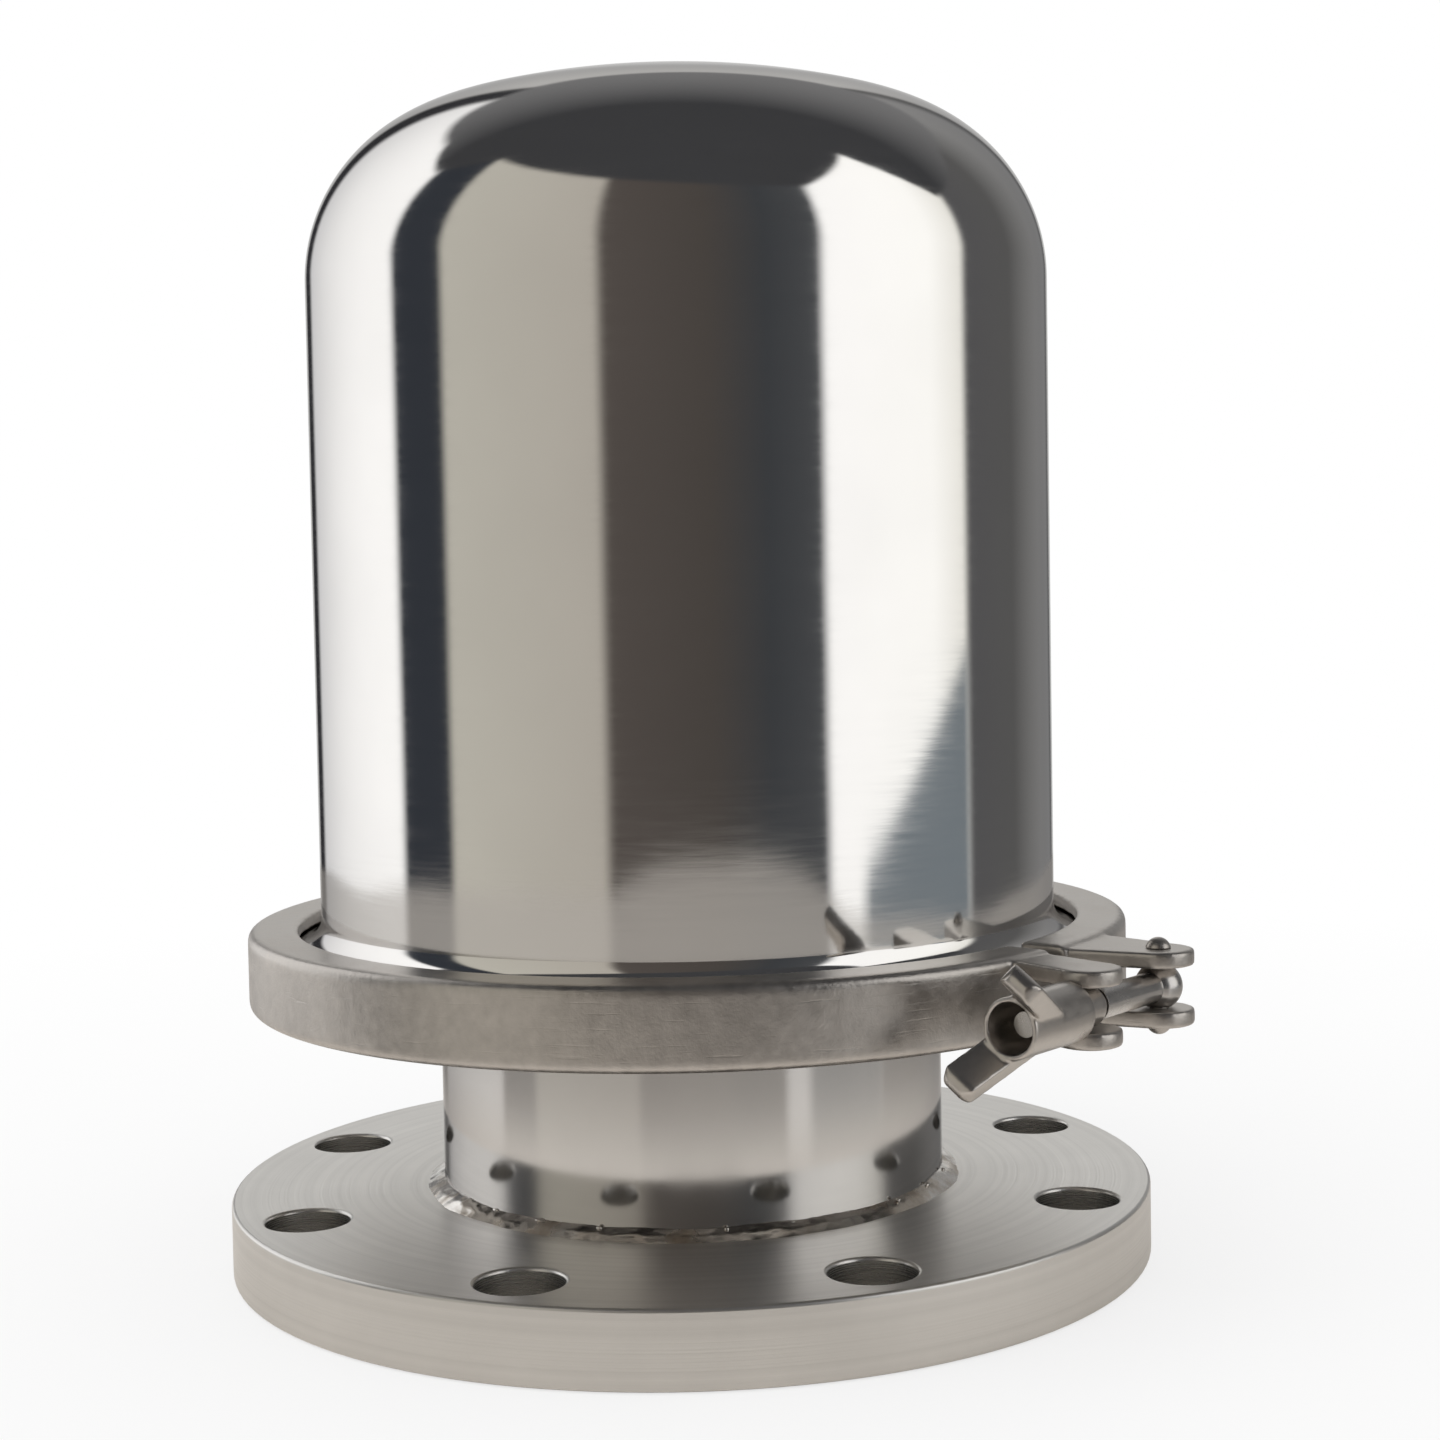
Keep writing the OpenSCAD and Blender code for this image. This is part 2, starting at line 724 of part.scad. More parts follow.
module disc_nut() {
  color([0.76, 0.76, 0.76])
    hex_nut(stem_d / 2 + fit_gap, stem_d + 2 * stem_nut_wall, disc_z - disc_nut_h, disc_nut_h);
}

module vacuum_spring() {
  color([0.6, 0.6, 0.6])
    coil(vacuum_spring_r, vacuum_wire_d, vacuum_turns, hub_bush_top, vacuum_spring_h);
}

module spring_cup() {
  color([0.7, 0.7, 0.69])
    union() {
      ring(cup_r, stem_d / 2 + fit_gap, cup_z, cup_t);
      ring(cup_r, cup_r - cup_wall, cup_z - cup_skirt, cup_skirt + bite);
    }
}

module stem_nuts() {
  color([0.76, 0.76, 0.76])
    for (i = [0, 1])
      hex_nut(stem_d / 2 + fit_gap, stem_d + 2 * stem_nut_wall, stem_nut_z + i * (stem_nut_h + fit_gap), stem_nut_h);
}

module clamp_gasket() {
  color([0.92, 0.91, 0.88])
    union() {
      ring(ferrule_r - 0.5, bell_bore_r, base_top, gasket_t);
      translate([0, 0, base_top])
        rotate_extrude()
          translate([bead_r, 0])
            circle(r = gasket_bead_r);
      translate([0, 0, bell_z])
        rotate_extrude()
          translate([bead_r, 0])
            circle(r = gasket_bead_r);
    }
}

module bell_ferrule() {
  slope_point = [foot_r - bell_foot_r * sin(ferrule_slope), foot_z - bell_foot_r * cos(ferrule_slope)];
  color([0.8, 0.8, 0.8])
    difference() {
      rotate_extrude()
        difference() {
          polygon([[bell_bore_r, bell_z], [ferrule_r, bell_z], [ferrule_r, bell_z + ferrule_rim],
            slope_point, [bell_r, foot_z], [bell_r, foot_top], [bell_bore_r, foot_top]]);
          translate([foot_r, foot_z])
            circle(r = bell_foot_r);
        }
      translate([0, 0, bell_z])
        rotate_extrude()
          translate([bead_r, 0])
            circle(r = gasket_bead_r + fit_gap);
    }
}

// Half outline of the bell with its dished head, set in by the given distance
module bell_outline(inset, z) {
  difference() {
    intersection() {
      translate([0, crown_z])
        circle(r = crown_r - inset);
      translate([0, z])
        square([bell_r - inset, bell_h]);
    }
    translate([knuckle_c, knuckle_z])
      difference() {
        polygon([[0, 0], [far, 0], [far, far], far * [cos(head_angle), sin(head_angle)]]);
        circle(r = knuckle_r - inset);
      }
  }
}

module bell_shell() {
  color([0.84, 0.84, 0.84])
    ring(bell_r, bell_bore_r, foot_top, head_z - foot_top);
}

module bell_head() {
  color([0.84, 0.84, 0.84])
    rotate_extrude()
      difference() {
        bell_outline(0, head_z);
        bell_outline(bell_wall, head_z - 1);
      }
}

// Cutter that leaves a round edge at one corner of the ring section
module edge_cutter(side) {
  mirror([0, side > 0 ? 0 : 1])
    translate([clamp_r - clamp_edge_r, clamp_h / 2 - clamp_edge_r])
      difference() {
        square(clamp_edge_r + 1);
        circle(r = clamp_edge_r);
      }
}

module clamp_section() {
  difference() {
    translate([lip_r, -clamp_h / 2])
      square([clamp_r - lip_r, clamp_h]);
    polygon([[lip_r, -lip_half], [groove_r, -groove_half], [groove_r, groove_half], [lip_r, lip_half]]);
    edge_cutter(1);
    edge_cutter(-1);
  }
}

// One half of the plain ring, on the side given by 1 or -1
module ring_half(side) {
  difference() {
    rotate_extrude()
      clamp_section();
    mirror([0, side > 0 ? 0 : 1, 0])
      translate([-far, -far, -far / 2])
        cube([2 * far, far + clamp_split / 2, far]);
  }
}

// Upper and lower plates of one outline
module plate_pair() {
  for (z = [ear_z, -ear_z - ear_t])
    translate([0, 0, z])
      linear_extrude(ear_t)
        children();
}

module clamp_nut_half() {
  tip = [bolt_r, nut_ear_r - seat_ahead + bite];
  color([0.66, 0.65, 0.63])
    at_closure()
      difference() {
        union() {
          ring_half(-1);
          difference() {
            plate_pair()
              lug_outline(tip, nut_ear_r, [ear_root_r, -clamp_split / 2 - nut_ear_root], [ear_root_r, -clamp_split / 2]);
            // room for the nut to swing out round the pivot pin
            translate([bolt_r - nut_d / 2, pin_back - far, -far / 2])
              difference() {
                cube([far / 2, far, far]);
                translate([nut_d / 2, far, 0])
                  cylinder(r = seat_reach, h = far);
              }
          }
          plate_pair()
            lug_outline([hinge_u, 0], hinge_r, [-ear_root_r, -clamp_split / 2],
              [-ear_root_r, -clamp_split / 2 - hinge_root]);
        }
        translate([hinge_u, 0, -clamp_h])
          cylinder(d = hinge_pin_d + 2 * fit_gap, h = 2 * clamp_h);
      }
}

module clamp_pin_half() {
  tongue_half = ear_z - pass_gap;
  color([0.66, 0.65, 0.63])
    at_closure()
      difference() {
        union() {
          ring_half(1);
          plate_pair()
            lug_outline([bolt_r, pin_back], pin_ear_r, [ear_root_r, clamp_split / 2],
              [ear_root_r, clamp_split / 2 + pin_ear_root]);
          translate([0, 0, -tongue_half])
            linear_extrude(2 * tongue_half)
              lug_outline([hinge_u, 0], hinge_r, [-ear_root_r, clamp_split / 2 + hinge_root],
                [-ear_root_r, clamp_split / 2]);
        }
        translate([hinge_u, 0, -clamp_h])
          cylinder(d = hinge_pin_d + 2 * fit_gap, h = 2 * clamp_h);
        translate([bolt_r, pin_back, -clamp_h])
          cylinder(d = pin_d + 2 * fit_gap, h = 2 * clamp_h);
      }
}

// Round pin with a low domed head at each end
module headed_pin(pin_r, head_r, head_h, half) {
  dome_r = (head_r * head_r + head_h * head_h) / (2 * head_h);
  translate([0, 0, -half])
    cylinder(r = pin_r, h = 2 * half);
  for (side = [0, 1])
    mirror([0, 0, side])
      intersection() {
        translate([0, 0, half + head_h - dome_r])
          sphere(r = dome_r);
        translate([0, 0, half])
          cylinder(r = head_r + 1, h = head_h + 1);
      }
}

module clamp_hinge_pin() {
  color([0.7, 0.7, 0.69])
    at_closure()
      translate([hinge_u, 0, 0])
        headed_pin(hinge_pin_d / 2, hinge_head_r, pin_head_h, ear_top);
}

module bolt_pivot_pin() {
  color([0.7, 0.7, 0.69])
    at_closure()
      translate([bolt_r, pin_back, 0])
        headed_pin(pin_d / 2, pin_head_r, pin_head_h, ear_top);
}

module swing_bolt() {
  color([0.74, 0.73, 0.71])
    along_bolt()
      difference() {
        union() {
          intersection() {
            sphere(d = eye_d);
            translate([-eye_d, -eye_h / 2, -eye_d])
              cube([2 * eye_d, eye_h, 2 * eye_d]);
          }
          cylinder(d = shank_d, h = shank_end);
          cylinder(d = bolt_d, h = bolt_end);
        }
        rotate([90, 0, 0])
          translate([0, 0, -eye_d])
            cylinder(d = pin_d + 2 * run_gap, h = 2 * eye_d);
      }
}

// One wing, drawn along X from inside the barrel to its tip
module wing() {
  root = nut_d * 0.75;
  tip_r = wing_t / 2;
  face = wing_w / 2;
  intersection() {
    linear_extrude(wing_w, center = true) {
      translate([-root, -wing_t])
        square([root + wing_len - tip_r, wing_t]);
      translate([wing_len - tip_r, -tip_r])
        circle(r = tip_r);
    }
    rotate([90, 0, 0])
      linear_extrude(3 * wing_t, center = true)
        polygon([[-root, -face], [wing_len - wing_corner, -face], [wing_len + bite, wing_corner - face],
          [wing_len + bite, face - wing_corner], [wing_len - wing_corner, face], [-root, face]]);
  }
}

module wing_nut() {
  nose_r = nose_d / 2;
  color([0.68, 0.67, 0.65])
    along_bolt()
      difference() {
        union() {
          translate([0, 0, nut_start])
            cylinder(d = nut_d, h = nut_len);
          translate([0, 0, nose_start + 2])
            cylinder(r = nose_r, h = nut_nose_len);
          translate([0, 0, nose_start])
            cylinder(r1 = nose_r - 1.2, r2 = nose_r, h = 2);
          for (a = [0, 180])
            rotate([0, 0, wing_turn + a])
              translate([nut_d / 2 - bite, 0, nut_end])
                rotate([90, -wing_sweep, 0])
                  wing();
        }
        translate([0, 0, nose_start - 1])
          cylinder(d = bolt_d + 2 * run_gap, h = nut_nose_len + nut_len + 2);
        translate([0, 0, nut_end - nut_recess_depth])
          cylinder(d = nut_recess_d, h = nut_recess_depth + wing_len);
      }
}

flange();
neck_tube();
flange_weld();
base_plate();
base_weld();
seat_ring();
guide_posts();
distance_sleeves();
yoke();
post_nuts();
adjusting_screw();
adjusting_locknut();
spring_plate();
pressure_spring();
pressure_pallet();
pressure_seal();
pallet_bushes();
pallet_hub();
hub_bush();
vacuum_disc();
vacuum_seal();
vacuum_stem();
disc_nut();
vacuum_spring();
spring_cup();
stem_nuts();
clamp_gasket();
bell_ferrule();
bell_shell();
bell_head();
clamp_nut_half();
clamp_pin_half();
clamp_hinge_pin();
bolt_pivot_pin();
swing_bolt();
wing_nut();
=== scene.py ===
"""Tank breather valve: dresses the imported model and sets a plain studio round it."""

import math

import bmesh
import bpy
from bpy.props import FloatProperty, FloatVectorProperty, IntProperty, PointerProperty
from bpy.types import Operator, Panel, PropertyGroup
from mathutils import Matrix, Vector


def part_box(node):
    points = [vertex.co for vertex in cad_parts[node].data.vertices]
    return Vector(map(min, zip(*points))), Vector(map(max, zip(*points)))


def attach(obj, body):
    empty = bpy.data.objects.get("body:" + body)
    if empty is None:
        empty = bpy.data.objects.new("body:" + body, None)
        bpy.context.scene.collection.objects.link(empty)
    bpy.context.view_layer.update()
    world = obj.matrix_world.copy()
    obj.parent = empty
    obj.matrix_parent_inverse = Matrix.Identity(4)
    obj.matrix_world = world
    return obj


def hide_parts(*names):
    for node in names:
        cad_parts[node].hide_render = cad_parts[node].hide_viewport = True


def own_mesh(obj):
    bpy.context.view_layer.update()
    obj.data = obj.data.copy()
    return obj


bl_info = {
    "name": "Tank breather valve",
    "version": (1, 0, 0),
    "blender": (4, 5, 0),
    "location": "View3D > Sidebar > Breather",
    "description": "Builds a flanged tank breather valve with a polished bell and a hinged clamp",
    "category": "Add Mesh",
}

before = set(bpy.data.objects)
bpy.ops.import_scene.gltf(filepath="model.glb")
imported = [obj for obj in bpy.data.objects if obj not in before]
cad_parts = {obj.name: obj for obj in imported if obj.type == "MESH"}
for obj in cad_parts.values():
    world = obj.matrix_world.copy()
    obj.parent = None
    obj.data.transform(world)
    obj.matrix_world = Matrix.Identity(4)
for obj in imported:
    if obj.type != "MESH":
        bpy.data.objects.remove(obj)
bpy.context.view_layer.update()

BODY = "valve_body"
PRESSURE = "pressure_trim"
VACUUM = "vacuum_trim"
SHELL_LOW, SHELL_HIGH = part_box("bell_shell")
HEAD_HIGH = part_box("bell_head")[1]
FERRULE_LOW, FERRULE_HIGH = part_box("bell_ferrule")
NECK_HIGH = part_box("neck_tube")[1]
FLANGE_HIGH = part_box("flange")[1]

# Vertices closer than JOIN_GAP are joined, and so are faces within FLAT_ANGLE of one plane.
JOIN_GAP = 2e-6
FLAT_ANGLE = math.radians(0.4)
# Edges sharper than these are rounded or stay creased, on dressed pieces and on turned ones.
SHARP_ANGLE = math.radians(35)
TURNED_SHARP_ANGLE = math.radians(32)
# Widths to which edges are rounded. A plain edge stays sharp.
BROAD_EDGE = 0.0003
FINE_EDGE = 0.0002
PLAIN_EDGE = 0.0
# A point closer to the axis than this lies on it.
ON_AXIS = 1e-7

# Steps along the bell's outline, up the outside and down the inside.
SKIRT_STEPS = 12
KNUCKLE_STEPS = 40
CROWN_STEPS = 24
INNER_CROWN_STEPS = 16
INNER_KNUCKLE_STEPS = 24
# Steps of the sweep from the ferrule to the bell, and the rounding of the ferrule's rim.
SWEEP_STEPS = 20
RIM_SOFTNESS = 0.0004

# Least and greatest size of a weld's lumps, how far they stray, and the waves of its skin.
LUMP_LEAST = (0.0002, 0.0004, 0.0002)
LUMP_MOST = (0.0006, 0.0018, 0.0005)
LUMP_STRAY = Vector((0.0012, 0.0012, 0.0))
BROAD_WAVES = 0.00026
FINE_WAVES = 0.00006

# Most of a noise texture lies between these values.
NOISE_LOW = 0.3
NOISE_HIGH = 0.7
# Tint of polished steel at its edges, where it is seen at a slant.
EDGE_TINT = (0.56, 0.56, 0.57, 1)
# Turned steel: the spread of its roughness, and its roughness in holes and the painted shade that darkens the
# colour of the rim.
TURNED_HAZE = 0.14
HOLE_ROUGHNESS = 0.75
RIM_PAINTED_SHADE = 0.86
# A face is a wall where the upward part of its normal is less than this.
WALL_LIMIT = 0.4
# Place in a noise and the heat colour of a weld there.
HEAT_COLOURS = (
    (0.24, (0.36, 0.28, 0.21)),
    (0.36, (0.58, 0.52, 0.45)),
    (0.46, (0.70, 0.67, 0.63)),
    (0.70, (0.76, 0.745, 0.72)),
)

# Heading from the front in degrees, and the colour of the room that polished steel mirrors there.
ROOM = (
    (-180, (0.74, 0.735, 0.72)),
    (-162, (0.74, 0.735, 0.72)),
    (-160, (0.05, 0.05, 0.055)),
    (-153, (0.05, 0.05, 0.055)),
    (-149, (1.2, 1.2, 1.2)),
    (-96, (1.2, 1.2, 1.2)),
    (-93, (0.035, 0.04, 0.05)),
    (-76, (0.035, 0.04, 0.05)),
    (-73, (0.57, 0.55, 0.49)),
    (-25, (0.50, 0.47, 0.42)),
    (-22, (0.095, 0.082, 0.075)),
    (8, (0.075, 0.066, 0.06)),
    (25, (0.05, 0.054, 0.06)),
    (41, (0.07, 0.074, 0.08)),
    (44, (1.2, 1.2, 1.2)),
    (80, (1.2, 1.2, 1.18)),
    (93, (1.0, 0.99, 0.94)),
    (96, (0.10, 0.10, 0.105)),
    (120, (0.12, 0.12, 0.12)),
    (142, (0.33, 0.33, 0.33)),
    (155, (0.38, 0.38, 0.38)),
    (160, (0.12, 0.12, 0.12)),
    (162, (0.74, 0.735, 0.72)),
    (180, (0.74, 0.735, 0.72)),
)
# Heading from the front in degrees, and the upward part of a ray at which the ceiling starts.
ROOF = (
    (-180, 0.70),
    (-150, 0.74),
    (-112, 0.72),
    (-96, 0.62),
    (-73, 0.74),
    (-25, 0.64),
    (20, 0.58),
    (43, 0.56),
    (70, 0.76),
    (93, 0.45),
    (120, 0.62),
    (180, 0.70),
)
ROOF_SOFTNESS = 0.03
# Colours of the ceiling at the front and the back, and the part of a ray along Y between them.
CEILING_FRONT = (0.05, 0.051, 0.055, 1)
CEILING_BACK = (0.30, 0.30, 0.305, 1)
CEILING_CHANGE = (0.1, 0.75)
# A blue patch low in the room. Its top edge rises with the heading, here in radians, and each
# of its sides is soft between two headings.
PATCH_COLOUR = (0.19, 0.22, 0.245, 1)
PATCH_RISE = 0.137
PATCH_START = -0.252
PATCH_SOFTNESS = 0.012
PATCH_LEFT = (0.9, 0.98)
PATCH_RIGHT = (1.62, 1.68)
# The even light that falls on dull surfaces.
DULL_LIGHT = (0.92, 0.92, 0.92, 1)
WHITE = (1, 1, 1, 1)

# The floor lies just under the part and fades to white with the distance from it.
FLOOR_DROP = 0.0003
FLOOR_WHITENESS = (0.72, 1.0)
FLOOR_FADE = (0.12, 0.55)
# Polished steel mirrors the floor as a warm grey table. Away from the part, the table is
# darker and shows some of the room.
TABLE_COLOUR = (1.0, 0.945, 0.88, 1)
TABLE_SHADE = (0.90, 0.46)
TABLE_SHADE_REACH = (0.13, 0.28)
TABLE_SHEEN_REACH = (0.16, 0.24)
# The table's edge is soft and wanders. It lies further out at the hump, and nearer on the right.
TABLE_SOFTNESS = 0.06
TABLE_WANDER = 0.03
TABLE_HUMP = -0.15
TABLE_HUMP_HEADING = (0.208, -0.978, 0.0)
TABLE_HUMP_WIDTH = (0.84, 0.995)
TABLE_SLOPE = 0.10
TABLE_SLOPE_SIDE = (0.3, 1.0)

# The soft lamp, and what stays fixed on the camera.
LAMP_SIZE = (1.6, 1.2)
LAMP_POWER = 6.0
LAMP_PLACE = (-0.5, -0.6, 1.5)
LAMP_AIM = (0, 0, 0.1)
SENSOR_WIDTH = 36.0
CLIP_NEAR = 0.01
CLIP_FAR = 50


class BellSettings(PropertyGroup):
    """Sizes and finish of the bell"""

    wall: FloatProperty(name="Wall", description="Thickness of the bell", default=0.0025, unit="LENGTH")
    knuckle: FloatProperty(
        name="Knuckle", description="Radius of the knuckle of the head", default=0.040, unit="LENGTH"
    )
    crown: FloatProperty(
        name="Crown", description="Radius of the crown of the head", default=0.190, unit="LENGTH"
    )
    rim: FloatProperty(name="Rim", description="Thickness of the ferrule rim", default=0.00285, unit="LENGTH")
    slope: FloatProperty(
        name="Slope", description="Slope of the ferrule rim", default=math.radians(20), subtype="ANGLE"
    )
    sweep: FloatProperty(
        name="Sweep", description="Radius from ferrule to bell", default=0.005, unit="LENGTH"
    )
    segments: IntProperty(name="Segments", description="Steps round the bell", default=288, min=48)
    colour: FloatVectorProperty(
        name="Colour",
        description="Colour of the polished steel",
        default=(0.80, 0.785, 0.765),
        subtype="COLOR",
    )
    roughness: FloatProperty(name="Roughness", description="Haze of the polish", default=0.055, min=0, max=1)


class BaseSettings(PropertyGroup):
    """Finish of the flange, neck and welds"""

    flange_colour: FloatVectorProperty(
        name="Flange colour",
        description="Colour of the turned flange",
        default=(0.73, 0.715, 0.69),
        subtype="COLOR",
    )
    rim_land: FloatProperty(
        name="Rim land", description="Least metal between a hole and the rim", default=0.003, unit="LENGTH"
    )
    neck_colour: FloatVectorProperty(
        name="Neck colour",
        description="Colour of the neck tube",
        default=(0.68, 0.665, 0.65),
        subtype="COLOR",
    )
    weld_lumps: IntProperty(name="Lumps", description="Small lumps round a weld", default=26, min=0)
    weld_leg: FloatProperty(
        name="Weld leg", description="Width of a weld as a share of its solid", default=1.15
    )
    weld_rise: FloatProperty(
        name="Weld rise", description="Height of a weld as a share of its solid", default=0.62
    )
    weld_seed: IntProperty(name="Seed", description="Seed of the lumps of a weld", default=7)


class ClampSettings(PropertyGroup):
    """Finish of the clamp"""

    colour: FloatVectorProperty(
        name="Colour", description="Colour of the satin clamp", default=(0.54, 0.508, 0.475), subtype="COLOR"
    )
    bolt_colour: FloatVectorProperty(
        name="Bolt colour", description="Colour of the bolt", default=(0.58, 0.56, 0.54), subtype="COLOR"
    )
    ring_grid: FloatProperty(
        name="Ring grid", description="Mesh size of the clamp", default=0.0005, unit="LENGTH"
    )
    ring_passes: IntProperty(
        name="Ring softness", description="Softening passes of the clamp", default=10, min=0
    )
    nut_grid: FloatProperty(
        name="Nut grid", description="Mesh size of the wing nut", default=0.00028, unit="LENGTH"
    )
    nut_passes: IntProperty(
        name="Nut softness", description="Softening passes of the wing nut", default=30, min=0
    )


class TrimSettings(PropertyGroup):
    """Finish of the pieces under the bell"""

    colour: FloatVectorProperty(
        name="Colour", description="Colour of the machined steel", default=(0.62, 0.61, 0.6), subtype="COLOR"
    )
    spring_colour: FloatVectorProperty(
        name="Spring colour",
        description="Colour of the spring wire",
        default=(0.42, 0.41, 0.4),
        subtype="COLOR",
    )
    seal_colour: FloatVectorProperty(
        name="Seal colour", description="Colour of the seals", default=(0.80, 0.79, 0.75), subtype="COLOR"
    )
    pressure_turns: IntProperty(
        name="Pressure turns", description="Turns of the pressure spring", default=8, min=3
    )
    vacuum_turns: IntProperty(name="Vacuum turns", description="Turns of the vacuum spring", default=6, min=3)
    pressure_wire: FloatProperty(
        name="Pressure wire",
        description="Diameter of the pressure spring wire",
        default=0.0024,
        unit="LENGTH",
    )
    vacuum_wire: FloatProperty(
        name="Vacuum wire", description="Diameter of the vacuum spring wire", default=0.0015, unit="LENGTH"
    )


class StageSettings(PropertyGroup):
    """Floor, light and camera"""

    floor_colour: FloatVectorProperty(
        name="Floor colour", description="Colour of the floor", default=(0.86, 0.86, 0.86), subtype="COLOR"
    )
    floor_size: FloatProperty(
        name="Floor size", description="Half width of the floor", default=6.0, unit="LENGTH"
    )
    table_reach: FloatProperty(
        name="Table reach",
        description="Distance at which the mirrored table ends",
        default=0.70,
        unit="LENGTH",
    )
    table_sheen: FloatProperty(
        name="Table sheen",
        description="Share of the surroundings seen in the table",
        default=0.32,
        min=0,
        max=1,
    )
    lens: FloatProperty(name="Lens", description="Focal length in millimetres", default=58.65)
    camera_back: FloatProperty(
        name="Camera distance",
        description="Distance from the axis of the valve",
        default=0.5361,
        unit="LENGTH",
    )
    camera_up: FloatProperty(
        name="Camera height", description="Height of the camera", default=0.1522, unit="LENGTH"
    )
    pitch: FloatProperty(name="Pitch", description="Tilt of the camera", default=0.0484, subtype="ANGLE")
    yaw: FloatProperty(name="Yaw", description="Turn of the camera", default=-0.0452, subtype="ANGLE")
    roll: FloatProperty(name="Roll", description="Roll of the camera", default=-0.0163, subtype="ANGLE")
    shift_x: FloatProperty(name="Shift X", description="Sideways shift of the picture", default=-0.05)
    shift_y: FloatProperty(name="Shift Y", description="Upward shift of the picture", default=-0.0208)


def add(tree, kind, settings=None, inputs=None):
    """Adds a node, sets its options and fills or links its inputs."""
    made = tree.nodes.new(kind)
    for key, value in (settings or {}).items():
        setattr(made, key, value)
    for key, value in (inputs or {}).items():
        socket = made.inputs[key]
        if isinstance(value, bpy.types.NodeSocket):
            tree.links.new(value, socket)
        else:
            socket.default_value = value
    return made


def math_node(tree, operation, first, second=0.0):
    """Adds a math node and gives its result."""
    made = add(tree, "ShaderNodeMath", {"operation": operation}, {0: first, 1: second})
    return made.outputs[0]


def average(tree, first, second):
    """Halfway between two values."""
    halves = [math_node(tree, "MULTIPLY", value, 0.5) for value in (first, second)]
    return math_node(tree, "ADD", *halves)


def vector_node(tree, operation, first, second=None):
    """Adds a vector math node and gives the node."""
    inputs = {0: first}
    if second is not None:
        inputs["Scale" if operation == "SCALE" else 1] = second
    return add(tree, "ShaderNodeVectorMath", {"operation": operation}, inputs)


def split(tree, vector):
    """Gives the X, Y and Z of a vector."""
    return add(tree, "ShaderNodeSeparateXYZ", None, {0: vector}).outputs


def joined(tree, **parts):
    """Makes a vector of X, Y and Z."""
    return add(tree, "ShaderNodeCombineXYZ", None, parts).outputs[0]


def spread(tree, value, low, high, from_low=NOISE_LOW, from_high=NOISE_HIGH):
    """Maps a value, such as a noise, from one range to another."""
    made = add(
        tree,
        "ShaderNodeMapRange",
        None,
        {"Value": value, "From Min": from_low, "From Max": from_high, "To Min": low, "To Max": high},
    )
    return made.outputs["Result"]


def blend(tree, factor, first, second, kind="MIX"):
    """Mixes two colours."""
    options = {"data_type": "RGBA", "blend_type": kind}
    return add(tree, "ShaderNodeMix", options, {0: factor, 6: first, 7: second}).outputs[2]


def blend_shaders(tree, factor, first, second):
    """Mixes two shaders."""
    return add(tree, "ShaderNodeMixShader", None, {0: factor, 1: first, 2: second}).outputs[0]


def heading_ramp(tree, place, stops):
    """Colour by heading, from stops given in degrees from the front."""
    node = add(tree, "ShaderNodeValToRGB", None, {"Fac": place})
    steps = node.color_ramp.elements
    while len(steps) > 1:
        steps.remove(steps[0])
    steps[0].position = 0.0
    steps[0].color = (*stops[0][1], 1)
    for degrees, colour in stops[1:]:
        steps.new((degrees + 180) / 360).color = (*colour, 1)
    return node.outputs["Color"]


def new_material(name, metallic=1.0):
    """Starts a material and gives it with its tree, its shader and its coordinates."""
    material = bpy.data.materials.new(name)
    material.use_nodes = True
    tree = material.node_tree
    tree.nodes.clear()
    shader = add(tree, "ShaderNodeBsdfPrincipled", None, {"Metallic": metallic})
    add(tree, "ShaderNodeOutputMaterial", None, {"Surface": shader.outputs["BSDF"]})
    place = tree.nodes.new("ShaderNodeTexCoord").outputs["Object"]
    return material, tree, shader, place


def noise(tree, place, scale, detail, stretch=None):
    """Adds a noise texture, stretched along an axis where asked."""
    vector = place
    if stretch is not None:
        mapping = add(tree, "ShaderNodeMapping", None, {"Vector": place, "Scale": stretch})
        vector = mapping.outputs["Vector"]
    inputs = {"Vector": vector, "Scale": scale, "Detail": detail, "Roughness": 0.55}
    return add(tree, "ShaderNodeTexNoise", None, inputs).outputs["Fac"]


def line_noise(tree, along, **inputs):
    """Adds a noise that changes along one value only."""
    options = {"noise_dimensions": "1D"}
    return add(tree, "ShaderNodeTexNoise", options, {"W": along, **inputs}).outputs["Fac"]


def tinted(tree, shader, value, colour, darker, lighter):
    """Varies the base colour between a darker and a lighter shade of it, and gives it."""
    ramp = add(tree, "ShaderNodeValToRGB", None, {"Fac": value})
    low, high = ramp.color_ramp.elements
    low.position, high.position = NOISE_LOW, NOISE_HIGH
    low.color = [c * darker for c in colour] + [1]
    high.color = [min(1.0, c * lighter) for c in colour] + [1]
    tree.links.new(ramp.outputs["Color"], shader.inputs["Base Color"])
    return ramp.outputs["Color"]


def roughened(tree, shader, value, low, high):
    """Varies the roughness with a noise."""
    tree.links.new(spread(tree, value, low, high), shader.inputs["Roughness"])


def bumped(tree, shader, height, strength, distance):
    """Adds a bump to the shader."""
    inputs = {"Height": height, "Strength": strength, "Distance": distance}
    made = add(tree, "ShaderNodeBump", None, inputs)
    tree.links.new(made.outputs["Normal"], shader.inputs["Normal"])


